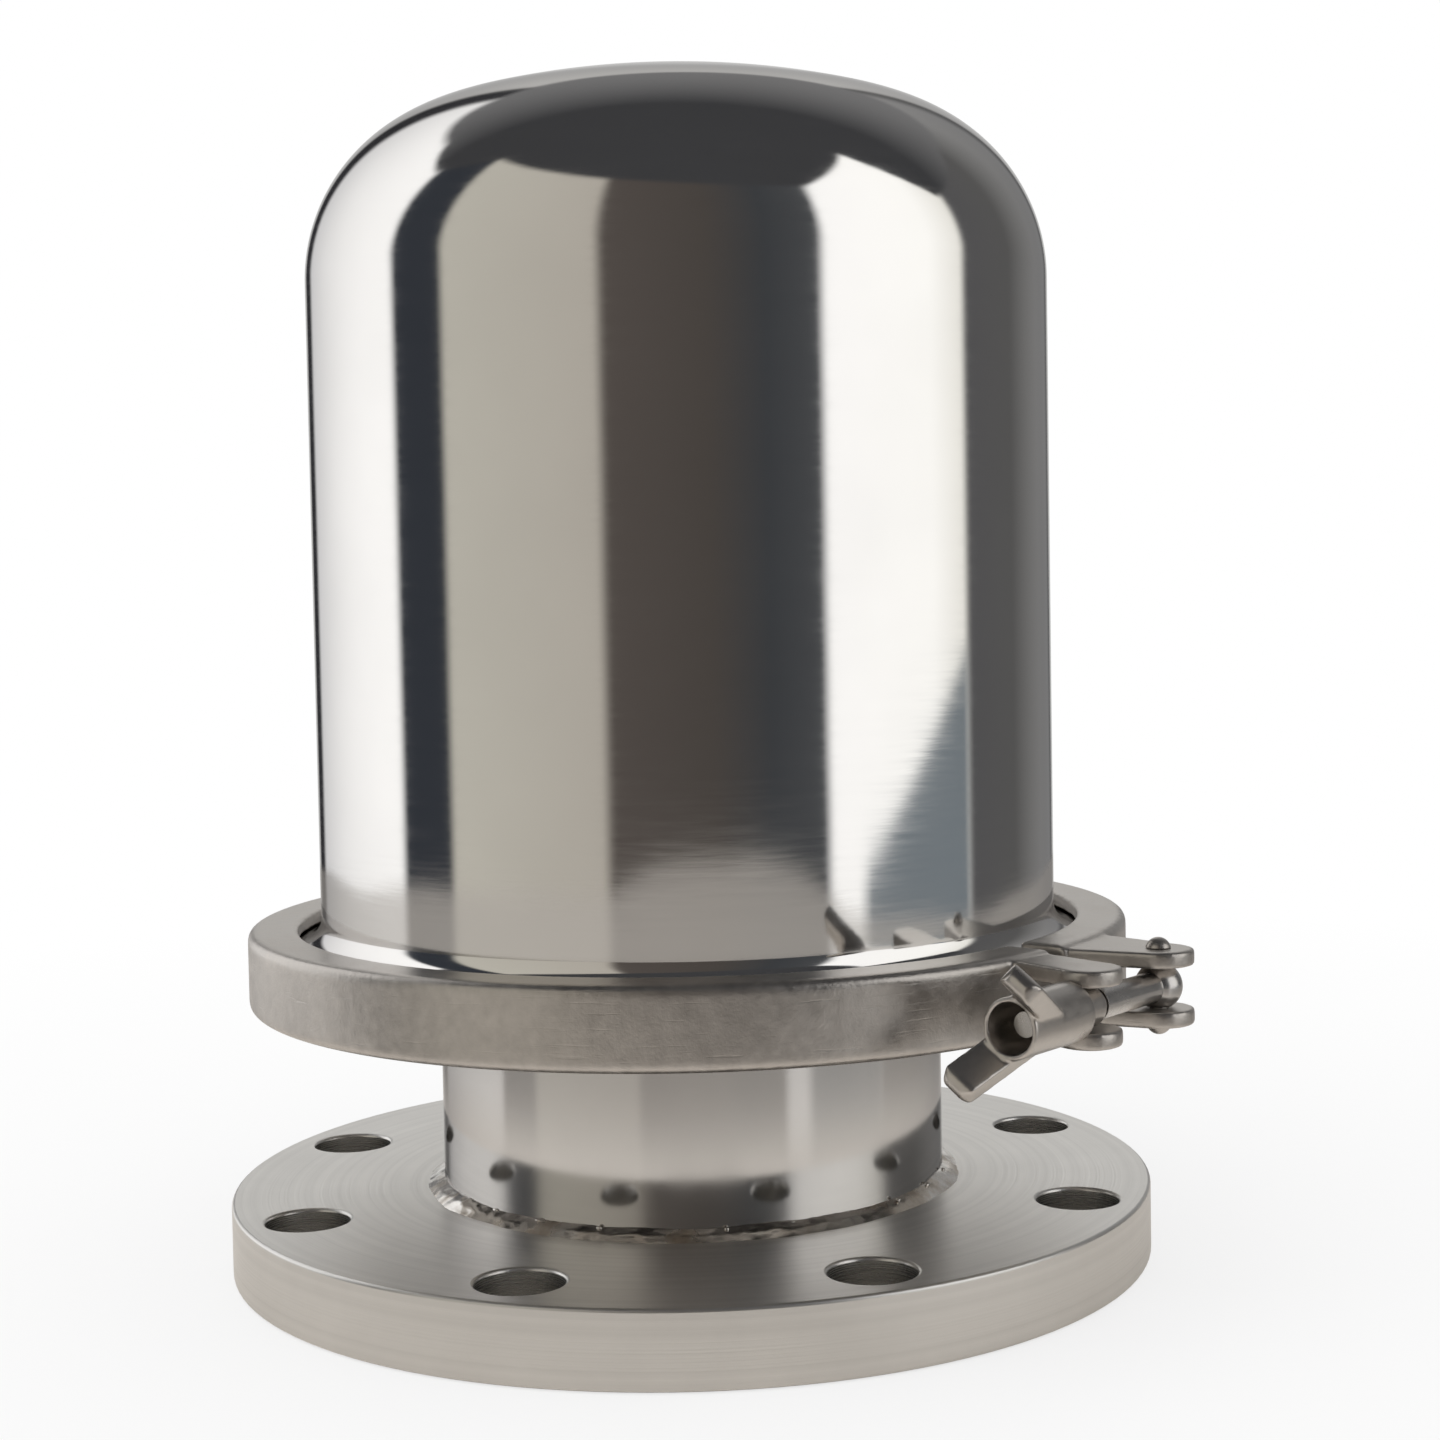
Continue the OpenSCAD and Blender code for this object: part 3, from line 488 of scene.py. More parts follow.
def polished_steel(name, colour, roughness, haze, grain, strength, waves):
    """Polished steel with faint buffing marks round the piece, darker at its edges."""
    material, tree, shader, place = new_material(name)
    shader.inputs["Specular Tint"].default_value = EDGE_TINT
    cloud = noise(tree, place, scale=22.0, detail=3.0)
    tinted(tree, shader, cloud, colour, darker=0.965, lighter=1.02)
    marks = noise(tree, place, scale=60.0, detail=5.0, stretch=(1.0, 1.0, grain))
    roughened(tree, shader, marks, roughness, roughness + haze)
    wave = math_node(tree, "MULTIPLY", noise(tree, place, scale=26.0, detail=1.0), waves)
    bumped(tree, shader, math_node(tree, "ADD", wave, marks), strength, distance=0.0002)
    return material


def turned_steel(name, colour, roughness, strength, drilled=None):
    """Steel turned on a lathe, with rings on flat faces and lines round the rim.

    Within the radius given as drilled, walls are holes with a smoother skin. Outside it they
    are the rim, whose colour is darkened by painted shade.
    """
    material, tree, shader, place = new_material(name)
    parts = split(tree, place)
    radius = vector_node(tree, "LENGTH", joined(tree, X=parts["X"], Y=parts["Y"], Z=0.0))
    radius = radius.outputs["Value"]
    across = radius
    if drilled is not None:
        facing = tree.nodes.new("ShaderNodeNewGeometry").outputs["Normal"]
        upright = math_node(tree, "ABSOLUTE", split(tree, facing)["Z"])
        wall = math_node(tree, "LESS_THAN", upright, WALL_LIMIT)
        inside = math_node(tree, "LESS_THAN", radius, drilled)
        holes = math_node(tree, "MULTIPLY", wall, inside)
        rim = math_node(tree, "SUBTRACT", wall, holes)
        across = math_node(tree, "MULTIPLY", radius, math_node(tree, "SUBTRACT", 1.0, holes))
    along = math_node(tree, "ADD", across, parts["Z"])
    fine = line_noise(tree, along, Scale=2600.0, Detail=4.0, Roughness=0.7)
    coarse = line_noise(tree, along, Scale=420.0, Detail=2.0)
    smear = noise(tree, place, scale=35.0, detail=4.0)
    mixed = average(tree, coarse, smear)
    skin = tinted(tree, shader, mixed, colour, darker=0.9, lighter=1.05)
    rough = spread(tree, fine, roughness, roughness + TURNED_HAZE)
    if drilled is not None:
        smoother = spread(tree, holes, 1.0, HOLE_ROUGHNESS, 0.0, 1.0)
        rough = math_node(tree, "MULTIPLY", rough, smoother)
        # Painted shade: the base colour of the rim walls is darkened.
        shade = spread(tree, rim, 1.0, RIM_PAINTED_SHADE, 0.0, 1.0)
        painted_shade_skin = vector_node(tree, "SCALE", skin, shade)
        tree.links.new(painted_shade_skin.outputs["Vector"], shader.inputs["Base Color"])
    tree.links.new(rough, shader.inputs["Roughness"])
    bumped(tree, shader, fine, strength, distance=0.0004)
    return material


def satin_steel(name, colour, roughness, wear):
    """Cast steel with a blasted, softly polished skin, mottled and lightly scratched."""
    material, tree, shader, place = new_material(name)
    patch = noise(tree, place, scale=60.0, detail=4.0)
    mottle = noise(tree, place, scale=380.0, detail=5.0)
    grain = noise(tree, place, scale=1500.0, detail=3.0)
    cloud = average(tree, patch, mottle)
    tinted(tree, shader, cloud, colour, darker=1 - 0.2 * wear, lighter=1 + 0.14 * wear)
    roughened(tree, shader, cloud, roughness - 0.08 * wear, roughness + 0.1 * wear)
    turned = {"Vector": place, "Rotation": (0.5, 0.6, 0.2), "Scale": (1.0, 1.0, 16.0)}
    slanted = add(tree, "ShaderNodeMapping", None, turned).outputs["Vector"]
    scratch = spread(tree, noise(tree, slanted, scale=70.0, detail=3.0), 0.0, 1.0, 0.62, 0.72)
    depth = math_node(tree, "MULTIPLY", scratch, -0.8)
    swell = math_node(tree, "ADD", grain, math_node(tree, "MULTIPLY", mottle, 0.8))
    bumped(tree, shader, math_node(tree, "ADD", swell, depth), 0.16 * wear, distance=0.0003)
    return material


def heat_tinted_weld(name):
    """Weld metal with straw and brown heat colours."""
    material, tree, shader, place = new_material(name)
    cloud = noise(tree, place, scale=90.0, detail=6.0)
    ramp = add(tree, "ShaderNodeValToRGB", None, {"Fac": cloud})
    steps = ramp.color_ramp.elements
    for step, (position, colour) in zip(steps, (HEAT_COLOURS[0], HEAT_COLOURS[-1])):
        step.position = position
        step.color = (*colour, 1)
    for position, colour in HEAT_COLOURS[1:-1]:
        steps.new(position).color = (*colour, 1)
    tree.links.new(ramp.outputs["Color"], shader.inputs["Base Color"])
    roughened(tree, shader, cloud, 0.32, 0.14)
    grain = noise(tree, place, scale=420.0, detail=3.0)
    bumped(tree, shader, grain, strength=0.10, distance=0.0006)
    return material


def drawn_wire(name, colour):
    """Drawn spring wire with fine lines."""
    material, tree, shader, place = new_material(name)
    lines = noise(tree, place, scale=260.0, detail=4.0, stretch=(1.0, 1.0, 6.0))
    tinted(tree, shader, lines, colour, darker=0.85, lighter=1.1)
    roughened(tree, shader, lines, 0.22, 0.36)
    bumped(tree, shader, lines, strength=0.08, distance=0.0002)
    return material


def moulded_white(name, colour, roughness):
    """White seal or bush with a faint mottle."""
    material, tree, shader, place = new_material(name, metallic=0.0)
    mottle = noise(tree, place, scale=140.0, detail=5.0)
    tinted(tree, shader, mottle, colour, darker=0.94, lighter=1.03)
    roughened(tree, shader, mottle, roughness - 0.05, roughness + 0.08)
    grain = noise(tree, place, scale=900.0, detail=3.0)
    bumped(tree, shader, grain, strength=0.06, distance=0.0002)
    return material


def finished(name, mesh, body, material, nodes):
    """Links a mesh as a piece that stands for CAD nodes and rides on a body."""
    piece = bpy.data.objects.new(name, mesh)
    bpy.context.scene.collection.objects.link(piece)
    mesh.materials.clear()
    mesh.materials.append(material)
    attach(piece, body)
    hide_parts(*nodes)
    return piece


def evaluated_mesh(piece):
    """Turns an object with modifiers into a plain mesh and removes the object."""
    bpy.context.view_layer.update()
    graph = bpy.context.evaluated_depsgraph_get()
    mesh = bpy.data.meshes.new_from_object(
        piece.evaluated_get(graph), preserve_all_data_layers=True, depsgraph=graph
    )
    bpy.data.objects.remove(piece)
    return mesh


def rough_copy(node, join_flats):
    """Copies a CAD node as a new object with its vertices joined, and its flat faces if asked."""
    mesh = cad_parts[node].data.copy()
    shape = bmesh.new()
    shape.from_mesh(mesh)
    bmesh.ops.remove_doubles(shape, verts=shape.verts, dist=JOIN_GAP)
    if join_flats:
        bmesh.ops.dissolve_limit(
            shape, angle_limit=FLAT_ANGLE, verts=shape.verts, edges=shape.edges
        )
        for face in shape.faces:
            face.smooth = True
    shape.to_mesh(mesh)
    shape.free()
    if mesh.has_custom_normals:
        mesh.attributes.remove(mesh.attributes["custom_normal"])
    rough = bpy.data.objects.new(node + "_rough", mesh)
    bpy.context.scene.collection.objects.link(rough)
    return rough


def dressed(node, body, material, edge):
    """Copies a CAD node, rounds its edges and smooths its curves."""
    rough = rough_copy(node, join_flats=True)
    if edge > 0:
        bevel = rough.modifiers.new("Edge", "BEVEL")
        bevel.width = edge
        bevel.segments = 2
        bevel.limit_method = "ANGLE"
        bevel.angle_limit = SHARP_ANGLE
        bevel.use_clamp_overlap = True
    else:
        rough.data.set_sharp_from_angle(angle=SHARP_ANGLE)
    flat = rough.modifiers.new("Flat faces", "WEIGHTED_NORMAL")
    flat.keep_sharp = True
    finished(node + "_piece", evaluated_mesh(rough), body, material, [node])


def cast(node, body, material, grid, passes):
    """Copies a CAD node and softens its edges and corners, as a polished casting has them."""
    rough = rough_copy(node, join_flats=False)
    skin = rough.modifiers.new("Skin", "REMESH")
    skin.mode = "VOXEL"
    skin.voxel_size = grid
    skin.use_smooth_shade = True
    soft = rough.modifiers.new("Soft edges", "SMOOTH")
    soft.factor = 0.5
    soft.iterations = passes
    finished(node + "_piece", evaluated_mesh(rough), body, material, [node])


def turned_profile(name, outline, segments):
    """Spins a closed outline of radius and height round the Z axis into a closed mesh."""
    mesh = bpy.data.meshes.new(name)
    shape = bmesh.new()
    rings = []
    for radius, height in outline:
        if radius < ON_AXIS:
            rings.append([shape.verts.new((0, 0, height))])
            continue
        ring = []
        for step in range(segments):
            angle = 2 * math.pi * step / segments
            place = (radius * math.cos(angle), radius * math.sin(angle), height)
            ring.append(shape.verts.new(place))
        rings.append(ring)
    for index, ring in enumerate(rings):
        after = rings[(index + 1) % len(rings)]
        if len(ring) == 1 and len(after) == 1:
            continue
        for step in range(segments):
            follow = (step + 1) % segments
            if len(ring) == 1:
                shape.faces.new((ring[0], after[follow], after[step]))
            elif len(after) == 1:
                shape.faces.new((ring[step], ring[follow], after[0]))
            else:
                shape.faces.new((ring[step], ring[follow], after[follow], after[step]))
    bmesh.ops.recalc_face_normals(shape, faces=shape.faces)
    for face in shape.faces:
        face.smooth = True
    shape.to_mesh(mesh)
    shape.free()
    mesh.set_sharp_from_angle(angle=TURNED_SHARP_ANGLE)
    return mesh


def arc(centre, radius, start, end, steps):
    """Points on an arc, with angles in radians."""
    points = []
    for step in range(steps + 1):
        angle = start + (end - start) * step / steps
        points.append(
            (centre[0] + radius * math.cos(angle), centre[1] + radius * math.sin(angle))
        )
    return points


def new_tree(name, inputs):
    """Starts a geometry node tree with named number inputs."""
    tree = bpy.data.node_groups.new(name, "GeometryNodeTree")
    tree.interface.new_socket("Geometry", in_out="OUTPUT", socket_type="NodeSocketGeometry")
    for label, kind in inputs:
        tree.interface.new_socket(label, in_out="INPUT", socket_type="NodeSocket" + kind)
    return tree, tree.nodes.new("NodeGroupInput").outputs, tree.nodes.new("NodeGroupOutput")


def run_tree(tree, name, values):
    """Runs a geometry node tree and gives its result as a plain mesh."""
    holder = bpy.data.objects.new(name, bpy.data.meshes.new(name))
    bpy.context.scene.collection.objects.link(holder)
    modifier = holder.modifiers.new(name, "NODES")
    modifier.node_group = tree
    for item in tree.interface.items_tree:
        if item.item_type == "SOCKET" and item.in_out == "INPUT":
            modifier[item.identifier] = values[item.name]
    return evaluated_mesh(holder)


def outward_faces(mesh):
    """Turns the faces of closed shells outward."""
    shape = bmesh.new()
    shape.from_mesh(mesh)
    bmesh.ops.recalc_face_normals(shape, faces=shape.faces)
    shape.to_mesh(mesh)
    shape.free()


def moved_up(tree, geometry, height):
    """Lifts a geometry and makes it real."""
    placed = add(
        tree,
        "GeometryNodeTransform",
        None,
        {"Geometry": geometry, "Translation": joined(tree, Z=height)},
    )
    made = add(tree, "GeometryNodeRealizeInstances", None, {"Geometry": placed.outputs[0]})
    return made.outputs[0]


def coated(tree, geometry, material, end):
    """Gives a geometry its material and ends the tree with it."""
    inputs = {"Geometry": geometry, "Material": material}
    made = add(tree, "GeometryNodeSetMaterial", None, inputs)
    tree.links.new(made.outputs[0], end.inputs[0])


def coil_tree(material):
    """Round wire wound on a spiral, with its lowest point at the given height."""
    labels = ("Radius", "Wire", "Turns", "Height", "Base")
    tree, start, end = new_tree("Coil spring", [(label, "Float") for label in labels])
    rise = math_node(tree, "SUBTRACT", start["Height"], start["Wire"])
    half = math_node(tree, "MULTIPLY", start["Wire"], 0.5)
    lift = math_node(tree, "ADD", start["Base"], half)
    spiral = add(
        tree,
        "GeometryNodeCurveSpiral",
        None,
        {
            "Resolution": 40,
            "Rotations": start["Turns"],
            "Start Radius": start["Radius"],
            "End Radius": start["Radius"],
            "Height": rise,
        },
    )
    round_section = {"Resolution": 14, "Radius": half}
    section = add(tree, "GeometryNodeCurvePrimitiveCircle", None, round_section)
    skin = add(
        tree,
        "GeometryNodeCurveToMesh",
        None,
        {"Curve": spiral.outputs[0], "Profile Curve": section.outputs[0], "Fill Caps": True},
    )
    coated(tree, moved_up(tree, skin.outputs[0], lift), material, end)
    return tree


def weld_section(tree, leg, rise):
    """Closed outline of a fillet, sunk into both of the faces that it joins."""
    sunk = math_node(tree, "MULTIPLY", rise, 0.25)
    inside = math_node(tree, "MULTIPLY", leg, -0.12)
    drop = math_node(tree, "MULTIPLY", rise, -1.0)
    belly = math_node(tree, "MULTIPLY", leg, 0.42), math_node(tree, "MULTIPLY", rise, -0.5)
    corners = ((inside, sunk), (leg, sunk), belly, (inside, drop))
    points = {}
    for index, (across, down) in enumerate(corners):
        points[f"Point {index + 1}"] = joined(tree, X=across, Y=down)
    line = add(tree, "GeometryNodeCurvePrimitiveQuadrilateral", {"mode": "POINTS"}, points)
    cut = add(tree, "GeometryNodeSubdivideCurve", None, {"Curve": line.outputs[0], "Cuts": 5})
    return cut.outputs[0]


def random_vector(tree, low, high, seed):
    """A random vector between two corners."""
    options = {"data_type": "FLOAT_VECTOR"}
    inputs = {0: low, 1: high, "Seed": seed}
    return add(tree, "FunctionNodeRandomValue", options, inputs).outputs[0]


def shifted(tree, geometry, offset):
    """Moves each point of a geometry."""
    inputs = {"Geometry": geometry, "Offset": offset}
    return add(tree, "GeometryNodeSetPosition", None, inputs).outputs[0]


def weld_lumps(tree, start, circle, spot):
    """Small lumps set along the weld, where it was started and stopped."""
    spaced = {"Curve": circle, "Count": start["Lumps"]}
    points = add(tree, "GeometryNodeCurveToPoints", {"mode": "COUNT"}, spaced)
    ball = {"Segments": 12, "Rings": 8, "Radius": 1.0}
    lump = add(tree, "GeometryNodeMeshUVSphere", None, ball)
    grown = random_vector(tree, LUMP_LEAST, LUMP_MOST, start["Seed"])
    scatter = random_vector(tree, -LUMP_STRAY, LUMP_STRAY, start["Seed"])
    lift = joined(tree, Z=math_node(tree, "MULTIPLY", start["Rise"], 0.75))
    jitter = vector_node(tree, "ADD", scatter, lift).outputs[0]
    parts = split(tree, spot)
    facing = joined(tree, Z=math_node(tree, "ARCTAN2", parts["Y"], parts["X"]))
    copies = add(
        tree,
        "GeometryNodeInstanceOnPoints",
        None,
        {
            "Points": shifted(tree, points.outputs["Points"], jitter),
            "Instance": lump.outputs["Mesh"],
            "Rotation": facing,
            "Scale": grown,
        },
    )
    return copies.outputs[0]


def weld_tree(material):
    """Uneven fillet round a circle, with small lumps on it."""
    labels = [(label, "Float") for label in ("Radius", "Height", "Leg", "Rise")]
    labels += [(label, "Int") for label in ("Lumps", "Seed")]
    tree, start, end = new_tree("Fillet weld", labels)
    section = weld_section(tree, start["Leg"], start["Rise"])
    ring = {"Resolution": 600, "Radius": start["Radius"]}
    circle = add(tree, "GeometryNodeCurvePrimitiveCircle", None, ring).outputs[0]
    swept = {"Curve": circle, "Profile Curve": section}
    core = add(tree, "GeometryNodeCurveToMesh", None, swept)
    spot = add(tree, "GeometryNodeInputPosition").outputs[0]
    broad = spread(tree, noise(tree, spot, scale=60.0, detail=1.0), -BROAD_WAVES, BROAD_WAVES)
    fine = spread(tree, noise(tree, spot, scale=380.0, detail=1.0), -FINE_WAVES, FINE_WAVES)
    swell = math_node(tree, "ADD", broad, fine)
    outward = add(tree, "GeometryNodeInputNormal").outputs[0]
    push = vector_node(tree, "SCALE", outward, swell).outputs[0]
    uneven = shifted(tree, core.outputs[0], push)
    both = add(tree, "GeometryNodeJoinGeometry")
    tree.links.new(weld_lumps(tree, start, circle, spot), both.inputs[0])
    tree.links.new(uneven, both.inputs[0])
    whole = moved_up(tree, both.outputs[0], start["Height"])
    smooth = add(tree, "GeometryNodeSetShadeSmooth", None, {"Geometry": whole})
    coated(tree, smooth.outputs[0], material, end)
    return tree


class BREATHER_OT_stage(Operator):
    """Sets the floor, the soft light, the surroundings and the camera"""

    bl_idname = "breather.stage"
    bl_label = "Stage"

    def execute(self, context):
        stage = context.scene.breather_stage
        self.floor(stage)
        self.surroundings(context)
        self.lamp(context)
        self.camera(context, stage)
        context.scene.view_settings.view_transform = "Standard"
        return {"FINISHED"}

    def table_edge(self, tree, place, reach, stage):
        """Nought on the mirrored table and one past its uneven edge."""
        heading = vector_node(tree, "NORMALIZE", place).outputs["Vector"]
        wander = spread(
            tree, noise(tree, heading, scale=1.7, detail=0.0), -TABLE_WANDER, TABLE_WANDER
        )
        ahead = vector_node(tree, "DOT_PRODUCT", heading, TABLE_HUMP_HEADING).outputs["Value"]
        hump = spread(tree, ahead, 0.0, TABLE_HUMP, *TABLE_HUMP_WIDTH)
        sideways = split(tree, heading)["X"]
        slope = spread(tree, sideways, 0.0, TABLE_SLOPE, *TABLE_SLOPE_SIDE)
        bent = math_node(tree, "ADD", math_node(tree, "ADD", hump, slope), wander)
        ragged = math_node(tree, "ADD", reach, bent)
        end = stage.table_reach
        return spread(tree, ragged, 0.0, 1.0, end, end + TABLE_SOFTNESS)

    def floor(self, stage):
        """Lays a floor that fades to white, and that polished steel mirrors as a table."""
        half = stage.floor_size
        corners = ((-half, -half), (half, -half), (half, half), (-half, half))
        mesh = bpy.data.meshes.new("floor")
        mesh.from_pydata([(x, y, -FLOOR_DROP) for x, y in corners], [], [(0, 1, 2, 3)])
        floor = bpy.data.objects.new("floor", mesh)
        bpy.context.scene.collection.objects.link(floor)
        material = bpy.data.materials.new("pale floor")
        material.use_nodes = True
        tree = material.node_tree
        tree.nodes.clear()
        place = tree.nodes.new("ShaderNodeTexCoord").outputs["Object"]
        path = tree.nodes.new("ShaderNodeLightPath").outputs
        reach = vector_node(tree, "LENGTH", place).outputs["Value"]
        matte = add(tree, "ShaderNodeBsdfDiffuse", None, {"Color": (*stage.floor_colour, 1)})
        white = add(tree, "ShaderNodeEmission", None, {"Color": WHITE, "Strength": 1.0})
        clear = tree.nodes.new("ShaderNodeBsdfTransparent")
        shade = spread(tree, reach, *TABLE_SHADE, *TABLE_SHADE_REACH)
        warm = blend(tree, 1.0, shade, TABLE_COLOUR, "MULTIPLY")
        mirrored = add(tree, "ShaderNodeBsdfDiffuse", None, {"Color": warm})
        near = blend_shaders(tree, path["Is Glossy Ray"], matte.outputs[0], mirrored.outputs[0])
        edge = self.table_edge(tree, place, reach, stage)
        sheen = spread(tree, reach, 0.0, stage.table_sheen, *TABLE_SHEEN_REACH)
        through = math_node(tree, "MAXIMUM", edge, sheen)
        beyond = math_node(tree, "MULTIPLY", through, path["Is Glossy Ray"])
        table = blend_shaders(tree, beyond, near, clear.outputs[0])
        fade = spread(tree, reach, *FLOOR_WHITENESS, *FLOOR_FADE)
        seen = blend_shaders(tree, fade, matte.outputs[0], white.outputs[0])
        surface = blend_shaders(tree, path["Is Camera Ray"], table, seen)
        add(tree, "ShaderNodeOutputMaterial", None, {"Surface": surface})
        mesh.materials.append(material)

    def surroundings(self, context):
        """Makes a white ground, and a room that shows in polished steel only."""
        world = bpy.data.worlds.new("studio")
        context.scene.world = world
        world.use_nodes = True
        tree = world.node_tree
        tree.nodes.clear()
        ray = split(tree, tree.nodes.new("ShaderNodeTexCoord").outputs["Generated"])
        front = math_node(tree, "MULTIPLY", ray["Y"], -1.0)
        turn = math_node(tree, "ARCTAN2", ray["X"], front)
        heading = spread(tree, turn, 0.0, 1.0, -math.pi, math.pi)
        walls = heading_ramp(tree, heading, ROOM)
        top = {0: turn, 1: PATCH_RISE, 2: PATCH_START}
        slant = add(tree, "ShaderNodeMath", {"operation": "MULTIPLY_ADD"}, top).outputs[0]
        depth = math_node(tree, "SUBTRACT", slant, ray["Z"])
        below = spread(tree, depth, 0.0, 1.0, 0.0, PATCH_SOFTNESS)
        left = spread(tree, turn, 0.0, 1.0, *PATCH_LEFT)
        right = spread(tree, turn, 1.0, 0.0, *PATCH_RIGHT)
        patch = math_node(tree, "MULTIPLY", below, math_node(tree, "MULTIPLY", left, right))
        shaded = blend(tree, patch, walls, PATCH_COLOUR)
        greys = [(degrees, (rise, rise, rise)) for degrees, rise in ROOF]
        roofline = heading_ramp(tree, heading, greys)
        above = math_node(tree, "SUBTRACT", ray["Z"], roofline)
        behind = spread(tree, ray["Y"], 0.0, 1.0, *CEILING_CHANGE)
        ceiling = blend(tree, behind, CEILING_FRONT, CEILING_BACK)
        room = blend(tree, spread(tree, above, 0.0, 1.0, 0.0, ROOF_SOFTNESS), shaded, ceiling)
        path = tree.nodes.new("ShaderNodeLightPath").outputs
        lit = blend(tree, path["Is Glossy Ray"], DULL_LIGHT, room)
        backed = blend(tree, path["Is Camera Ray"], lit, WHITE)
        ground = add(tree, "ShaderNodeBackground", None, {"Color": backed, "Strength": 1.0})
        add(tree, "ShaderNodeOutputWorld", None, {"Surface": ground.outputs[0]})

    def lamp(self, context):
        """Hangs a large soft lamp, which doesn't show in the steel."""
        light = bpy.data.lights.new("soft lamp", "AREA")
        light.shape = "RECTANGLE"
        light.size, light.size_y = LAMP_SIZE
        light.energy = LAMP_POWER
        lamp = bpy.data.objects.new("soft lamp", light)
        lamp.location = LAMP_PLACE
        aim = Vector(LAMP_AIM) - Vector(LAMP_PLACE)
        lamp.rotation_euler = aim.to_track_quat("-Z", "Y").to_euler()
        lamp.visible_glossy = False
        context.scene.collection.objects.link(lamp)

    def camera(self, context, stage):
        """Places the camera that was fitted to the photograph."""
        data = bpy.data.cameras.new("camera")
        data.sensor_width = SENSOR_WIDTH
        data.lens = stage.lens
        data.shift_x = stage.shift_x
        data.shift_y = stage.shift_y
        data.clip_start = CLIP_NEAR
        data.clip_end = CLIP_FAR
        camera = bpy.data.objects.new("camera", data)
        context.scene.collection.objects.link(camera)
        base = Matrix(((1, 0, 0), (0, 0, -1), (0, 1, 0)))
        turn = Matrix.Rotation(stage.yaw, 3, "Y")
        tilt = Matrix.Rotation(stage.pitch, 3, "X")
        lean = Matrix.Rotation(stage.roll, 3, "Z")
        right, down, forward = lean @ tilt @ turn @ base
        axes = Matrix((right, -down, -forward)).transposed().to_4x4()
        place = Matrix.Translation((0, -stage.camera_back, stage.camera_up))
        camera.matrix_world = place @ axes
        context.scene.camera = camera


class BREATHER_OT_bell(Operator):
    """Turns the polished bell and its ferrule"""

    bl_idname = "breather.bell"
    bl_label = "Bell"

    def execute(self, context):
        bell = context.scene.breather_bell
        steel = polished_steel(
            "mirror polished steel", bell.colour, bell.roughness,
            haze=0.04, grain=14.0, strength=0.012, waves=20.0,
        )
        shell = turned_profile("bell_shell_piece", self.shell(bell), bell.segments)
        nodes = ["bell_shell", "bell_head"]
        finished("bell_shell_piece", shell, BODY, steel, nodes)
        ferrule = turned_profile("bell_ferrule_piece", self.ferrule(bell), bell.segments)
        finished("bell_ferrule_piece", ferrule, BODY, steel, ["bell_ferrule"])
        return {"FINISHED"}

    def shell(self, bell):
        """Outline of the tube and its dished head, up the outside and down the inside."""
        radius = SHELL_HIGH[0]
        foot, top = SHELL_LOW[2], HEAD_HIGH[2]
        middle = radius - bell.knuckle
        crown_low = top - bell.crown
        reach = bell.crown - bell.knuckle
        knuckle_low = crown_low + math.sqrt(reach**2 - middle**2)
        meet = math.acos(middle / reach)
        knuckle, crown = (middle, knuckle_low), (0, crown_low)
        upright = math.pi / 2
        outline = []
        for step in range(SKIRT_STEPS):
            outline.append((radius, foot + (knuckle_low - foot) * step / SKIRT_STEPS))
        outline += arc(knuckle, bell.knuckle, 0, meet, KNUCKLE_STEPS)
        outline += arc(crown, bell.crown, meet, upright, CROWN_STEPS)[1:-1]
        outline += [(0, top), (0, top - bell.wall)]
        outline += arc(crown, bell.crown - bell.wall, upright, meet, INNER_CROWN_STEPS)[1:-1]
        outline += arc(knuckle, bell.knuckle - bell.wall, meet, 0, INNER_KNUCKLE_STEPS)
        outline.append((radius - bell.wall, foot))
        return outline

    def ferrule(self, bell):
        """Outline of the ferrule, with its sloped rim and the sweep up to the bell."""
        radius = SHELL_HIGH[0]
        inner = radius - bell.wall
        rim = FERRULE_HIGH[0]
        low, high = FERRULE_LOW[2], FERRULE_HIGH[2]
        across = radius + bell.sweep
        slant = (rim - across) * math.sin(bell.slope) + bell.sweep
        up = low + bell.rim + slant / math.cos(bell.slope)
        soft = RIM_SOFTNESS
        outline = [(inner, low), (rim - soft, low), (rim, low + soft)]
        outline.append((rim, low + bell.rim - soft))
        outline.append((rim - soft, low + bell.rim + soft * math.tan(bell.slope)))
        start = 1.5 * math.pi - bell.slope
        outline += arc((across, up), bell.sweep, start, math.pi, SWEEP_STEPS)
        outline += [(radius, high), (inner, high)]
        return outline


class BREATHER_OT_flange_and_neck(Operator):
    """Dresses the flange and the neck tube"""

    bl_idname = "breather.flange_and_neck"
    bl_label = "Flange and neck"

    def execute(self, context):
        base = context.scene.breather_base
        flange_steel = turned_steel(
            "turned flange steel",
            base.flange_colour,
            roughness=0.28,
            strength=0.10,
            drilled=FLANGE_HIGH[0] - base.rim_land,
        )
        neck_steel = polished_steel(
            "polished neck steel", base.neck_colour, roughness=0.07,
            haze=0.07, grain=0.15, strength=0.02, waves=8.0,
        )
        dressed("flange", BODY, flange_steel, BROAD_EDGE)
        dressed("neck_tube", BODY, neck_steel, PLAIN_EDGE)
        return {"FINISHED"}


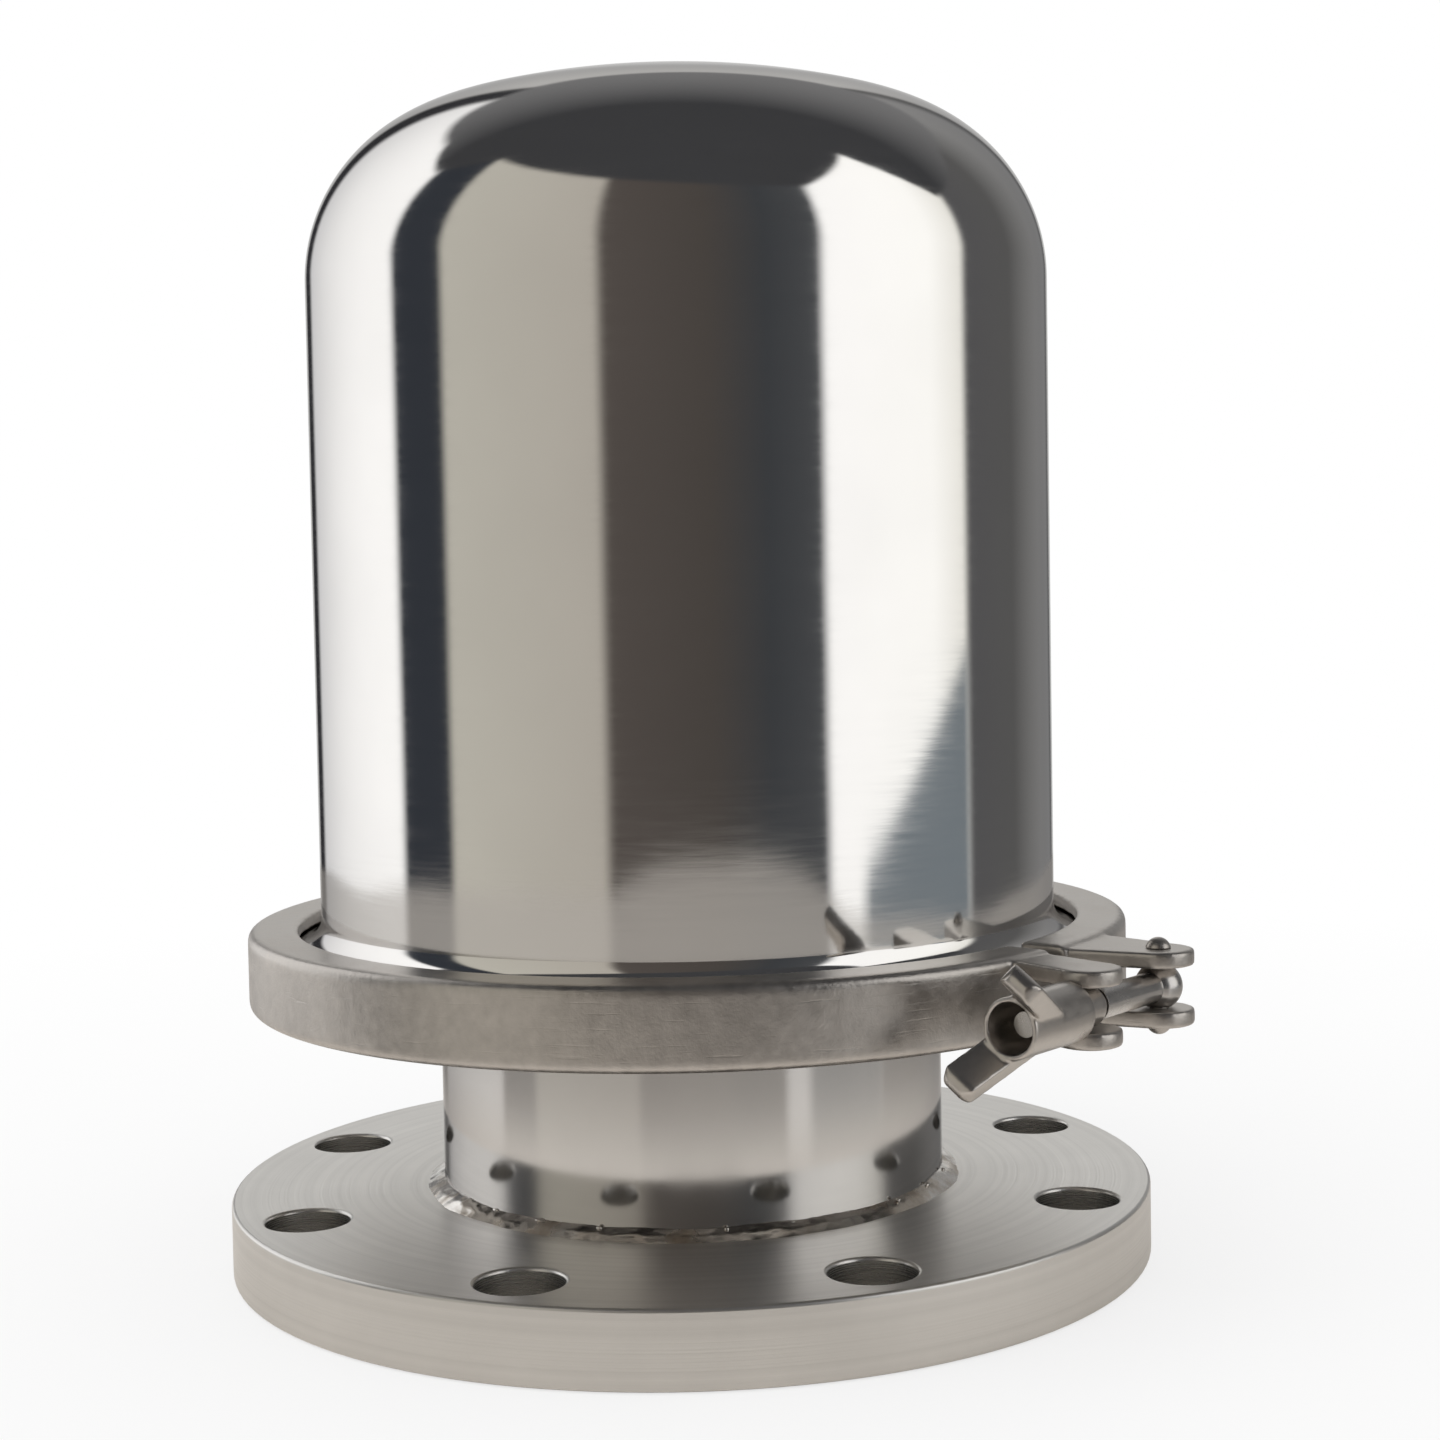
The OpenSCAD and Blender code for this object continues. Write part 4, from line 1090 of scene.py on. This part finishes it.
class BREATHER_OT_welds(Operator):
    """Lays the weld beads of the neck"""

    bl_idname = "breather.welds"
    bl_label = "Welds"

    def execute(self, context):
        base = context.scene.breather_base
        weld = heat_tinted_weld("heat tinted weld")
        tree = weld_tree(weld)
        for node, up in (("flange_weld", True), ("base_weld", False)):
            low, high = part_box(node)
            height = high[2] - low[2]
            values = {
                "Radius": NECK_HIGH[0],
                "Height": low[2] if up else high[2],
                "Leg": (high[0] - NECK_HIGH[0]) * base.weld_leg,
                "Rise": height * base.weld_rise * (1 if up else -1),
                "Lumps": base.weld_lumps,
                "Seed": base.weld_seed,
            }
            mesh = run_tree(tree, node + "_piece", values)
            outward_faces(mesh)
            finished(node + "_piece", mesh, BODY, weld, [node])
        return {"FINISHED"}


class BREATHER_OT_clamp(Operator):
    """Dresses the clamp halves and their pins"""

    bl_idname = "breather.clamp"
    bl_label = "Clamp"

    def execute(self, context):
        clamp = context.scene.breather_clamp
        satin = satin_steel("satin clamp steel", clamp.colour, roughness=0.36, wear=1.0)
        for node in ("clamp_nut_half", "clamp_pin_half"):
            cast(node, BODY, satin, clamp.ring_grid, clamp.ring_passes)
        for node in ("clamp_hinge_pin", "bolt_pivot_pin"):
            dressed(node, BODY, satin, FINE_EDGE)
        return {"FINISHED"}


class BREATHER_OT_clamp_bolt(Operator):
    """Dresses the swing bolt and the wing nut"""

    bl_idname = "breather.clamp_bolt"
    bl_label = "Clamp bolt"

    def execute(self, context):
        clamp = context.scene.breather_clamp
        satin = satin_steel("satin nut steel", clamp.colour, roughness=0.30, wear=0.5)
        bolt = satin_steel("satin bolt steel", clamp.bolt_colour, roughness=0.26, wear=0.3)
        dressed("swing_bolt", "clamp_bolt", bolt, BROAD_EDGE)
        cast("wing_nut", "clamp_nut", satin, clamp.nut_grid, clamp.nut_passes)
        return {"FINISHED"}


class BREATHER_OT_seat_and_guides(Operator):
    """Dresses the base plate, seat, posts, yoke and adjusting screw"""

    bl_idname = "breather.seat_and_guides"
    bl_label = "Seat and guides"

    def execute(self, context):
        trim = context.scene.breather_trim
        machined = turned_steel("machined trim steel", trim.colour, roughness=0.24, strength=0.08)
        drawn = polished_steel(
            "drawn bar steel", trim.colour, roughness=0.2, haze=0.12, grain=0.08, strength=0.05, waves=2.0
        )
        for node in ("base_plate", "seat_ring", "adjusting_screw", "spring_plate"):
            dressed(node, BODY, machined, FINE_EDGE)
        for node in ("guide_posts", "distance_sleeves", "post_nuts", "adjusting_locknut"):
            dressed(node, BODY, drawn, FINE_EDGE)
        dressed("yoke", BODY, drawn, PLAIN_EDGE)
        return {"FINISHED"}


class BREATHER_OT_pallets(Operator):
    """Dresses the pressure and vacuum pallets with their stems and bushes"""

    bl_idname = "breather.pallets"
    bl_label = "Pallets"

    def execute(self, context):
        trim = context.scene.breather_trim
        machined = turned_steel("machined pallet steel", trim.colour, roughness=0.22, strength=0.08)
        bush = moulded_white("white bush", trim.seal_colour, roughness=0.42)
        for node in ("pressure_pallet", "pallet_hub"):
            dressed(node, PRESSURE, machined, FINE_EDGE)
        for node in ("pallet_bushes", "hub_bush"):
            dressed(node, PRESSURE, bush, PLAIN_EDGE)
        for node in ("vacuum_disc", "vacuum_stem", "disc_nut", "spring_cup", "stem_nuts"):
            dressed(node, VACUUM, machined, FINE_EDGE)
        return {"FINISHED"}


class BREATHER_OT_seals(Operator):
    """Dresses the seals and the clamp gasket"""

    bl_idname = "breather.seals"
    bl_label = "Seals"

    def execute(self, context):
        trim = context.scene.breather_trim
        seal = moulded_white("white seal", trim.seal_colour, roughness=0.5)
        for node, body in (
            ("pressure_seal", PRESSURE),
            ("vacuum_seal", VACUUM),
            ("clamp_gasket", BODY),
        ):
            dressed(node, body, seal, PLAIN_EDGE)
        return {"FINISHED"}


class BREATHER_OT_springs(Operator):
    """Winds the two coil springs"""

    bl_idname = "breather.springs"
    bl_label = "Springs"

    def execute(self, context):
        trim = context.scene.breather_trim
        wire = drawn_wire("drawn spring wire", trim.spring_colour)
        tree = coil_tree(wire)
        pressure = (trim.pressure_turns, trim.pressure_wire)
        vacuum = (trim.vacuum_turns, trim.vacuum_wire)
        for node, body, joint, (turns, size), from_top in (
            ("pressure_spring", BODY, "pressure_lift", pressure, True),
            ("vacuum_spring", PRESSURE, "vacuum_drop", vacuum, False),
        ):
            low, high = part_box(node)
            length = high[2] - low[2]
            values = {
                "Radius": high[0] - size / 2,
                "Wire": size,
                "Turns": float(turns),
                "Height": length,
                "Base": low[2],
            }
            mesh = run_tree(tree, node + "_piece", values)
            piece = finished(node + "_piece", mesh, body, wire, [node])
            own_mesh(piece)
        return {"FINISHED"}


STEPS = (
    BREATHER_OT_stage,
    BREATHER_OT_bell,
    BREATHER_OT_flange_and_neck,
    BREATHER_OT_welds,
    BREATHER_OT_clamp,
    BREATHER_OT_clamp_bolt,
    BREATHER_OT_seat_and_guides,
    BREATHER_OT_pallets,
    BREATHER_OT_seals,
    BREATHER_OT_springs,
)
SETTINGS = {
    "breather_bell": BellSettings,
    "breather_base": BaseSettings,
    "breather_clamp": ClampSettings,
    "breather_trim": TrimSettings,
    "breather_stage": StageSettings,
}


class BREATHER_PT_panel(Panel):
    """Lists the pieces of the valve"""

    bl_idname = "BREATHER_PT_panel"
    bl_label = "Tank breather valve"
    bl_space_type = "VIEW_3D"
    bl_region_type = "UI"
    bl_category = "Breather"

    def draw(self, context):
        for step in STEPS:
            self.layout.operator(step.bl_idname)
        for name, group in SETTINGS.items():
            box = self.layout.box()
            for prop in group.__annotations__:
                box.prop(getattr(context.scene, name), prop)


def register():
    for name, group in SETTINGS.items():
        bpy.utils.register_class(group)
        setattr(bpy.types.Scene, name, PointerProperty(type=group))
    for step in STEPS:
        bpy.utils.register_class(step)
    bpy.utils.register_class(BREATHER_PT_panel)


def unregister():
    bpy.utils.unregister_class(BREATHER_PT_panel)
    for step in reversed(STEPS):
        bpy.utils.unregister_class(step)
    for name, group in SETTINGS.items():
        delattr(bpy.types.Scene, name)
        bpy.utils.unregister_class(group)


def main():
    register()
    bpy.ops.breather.stage()
    bpy.ops.breather.bell()
    bpy.ops.breather.flange_and_neck()
    bpy.ops.breather.welds()
    bpy.ops.breather.clamp()
    bpy.ops.breather.clamp_bolt()
    bpy.ops.breather.seat_and_guides()
    bpy.ops.breather.pallets()
    bpy.ops.breather.seals()
    bpy.ops.breather.springs()


if __name__ == "__main__":
    main()
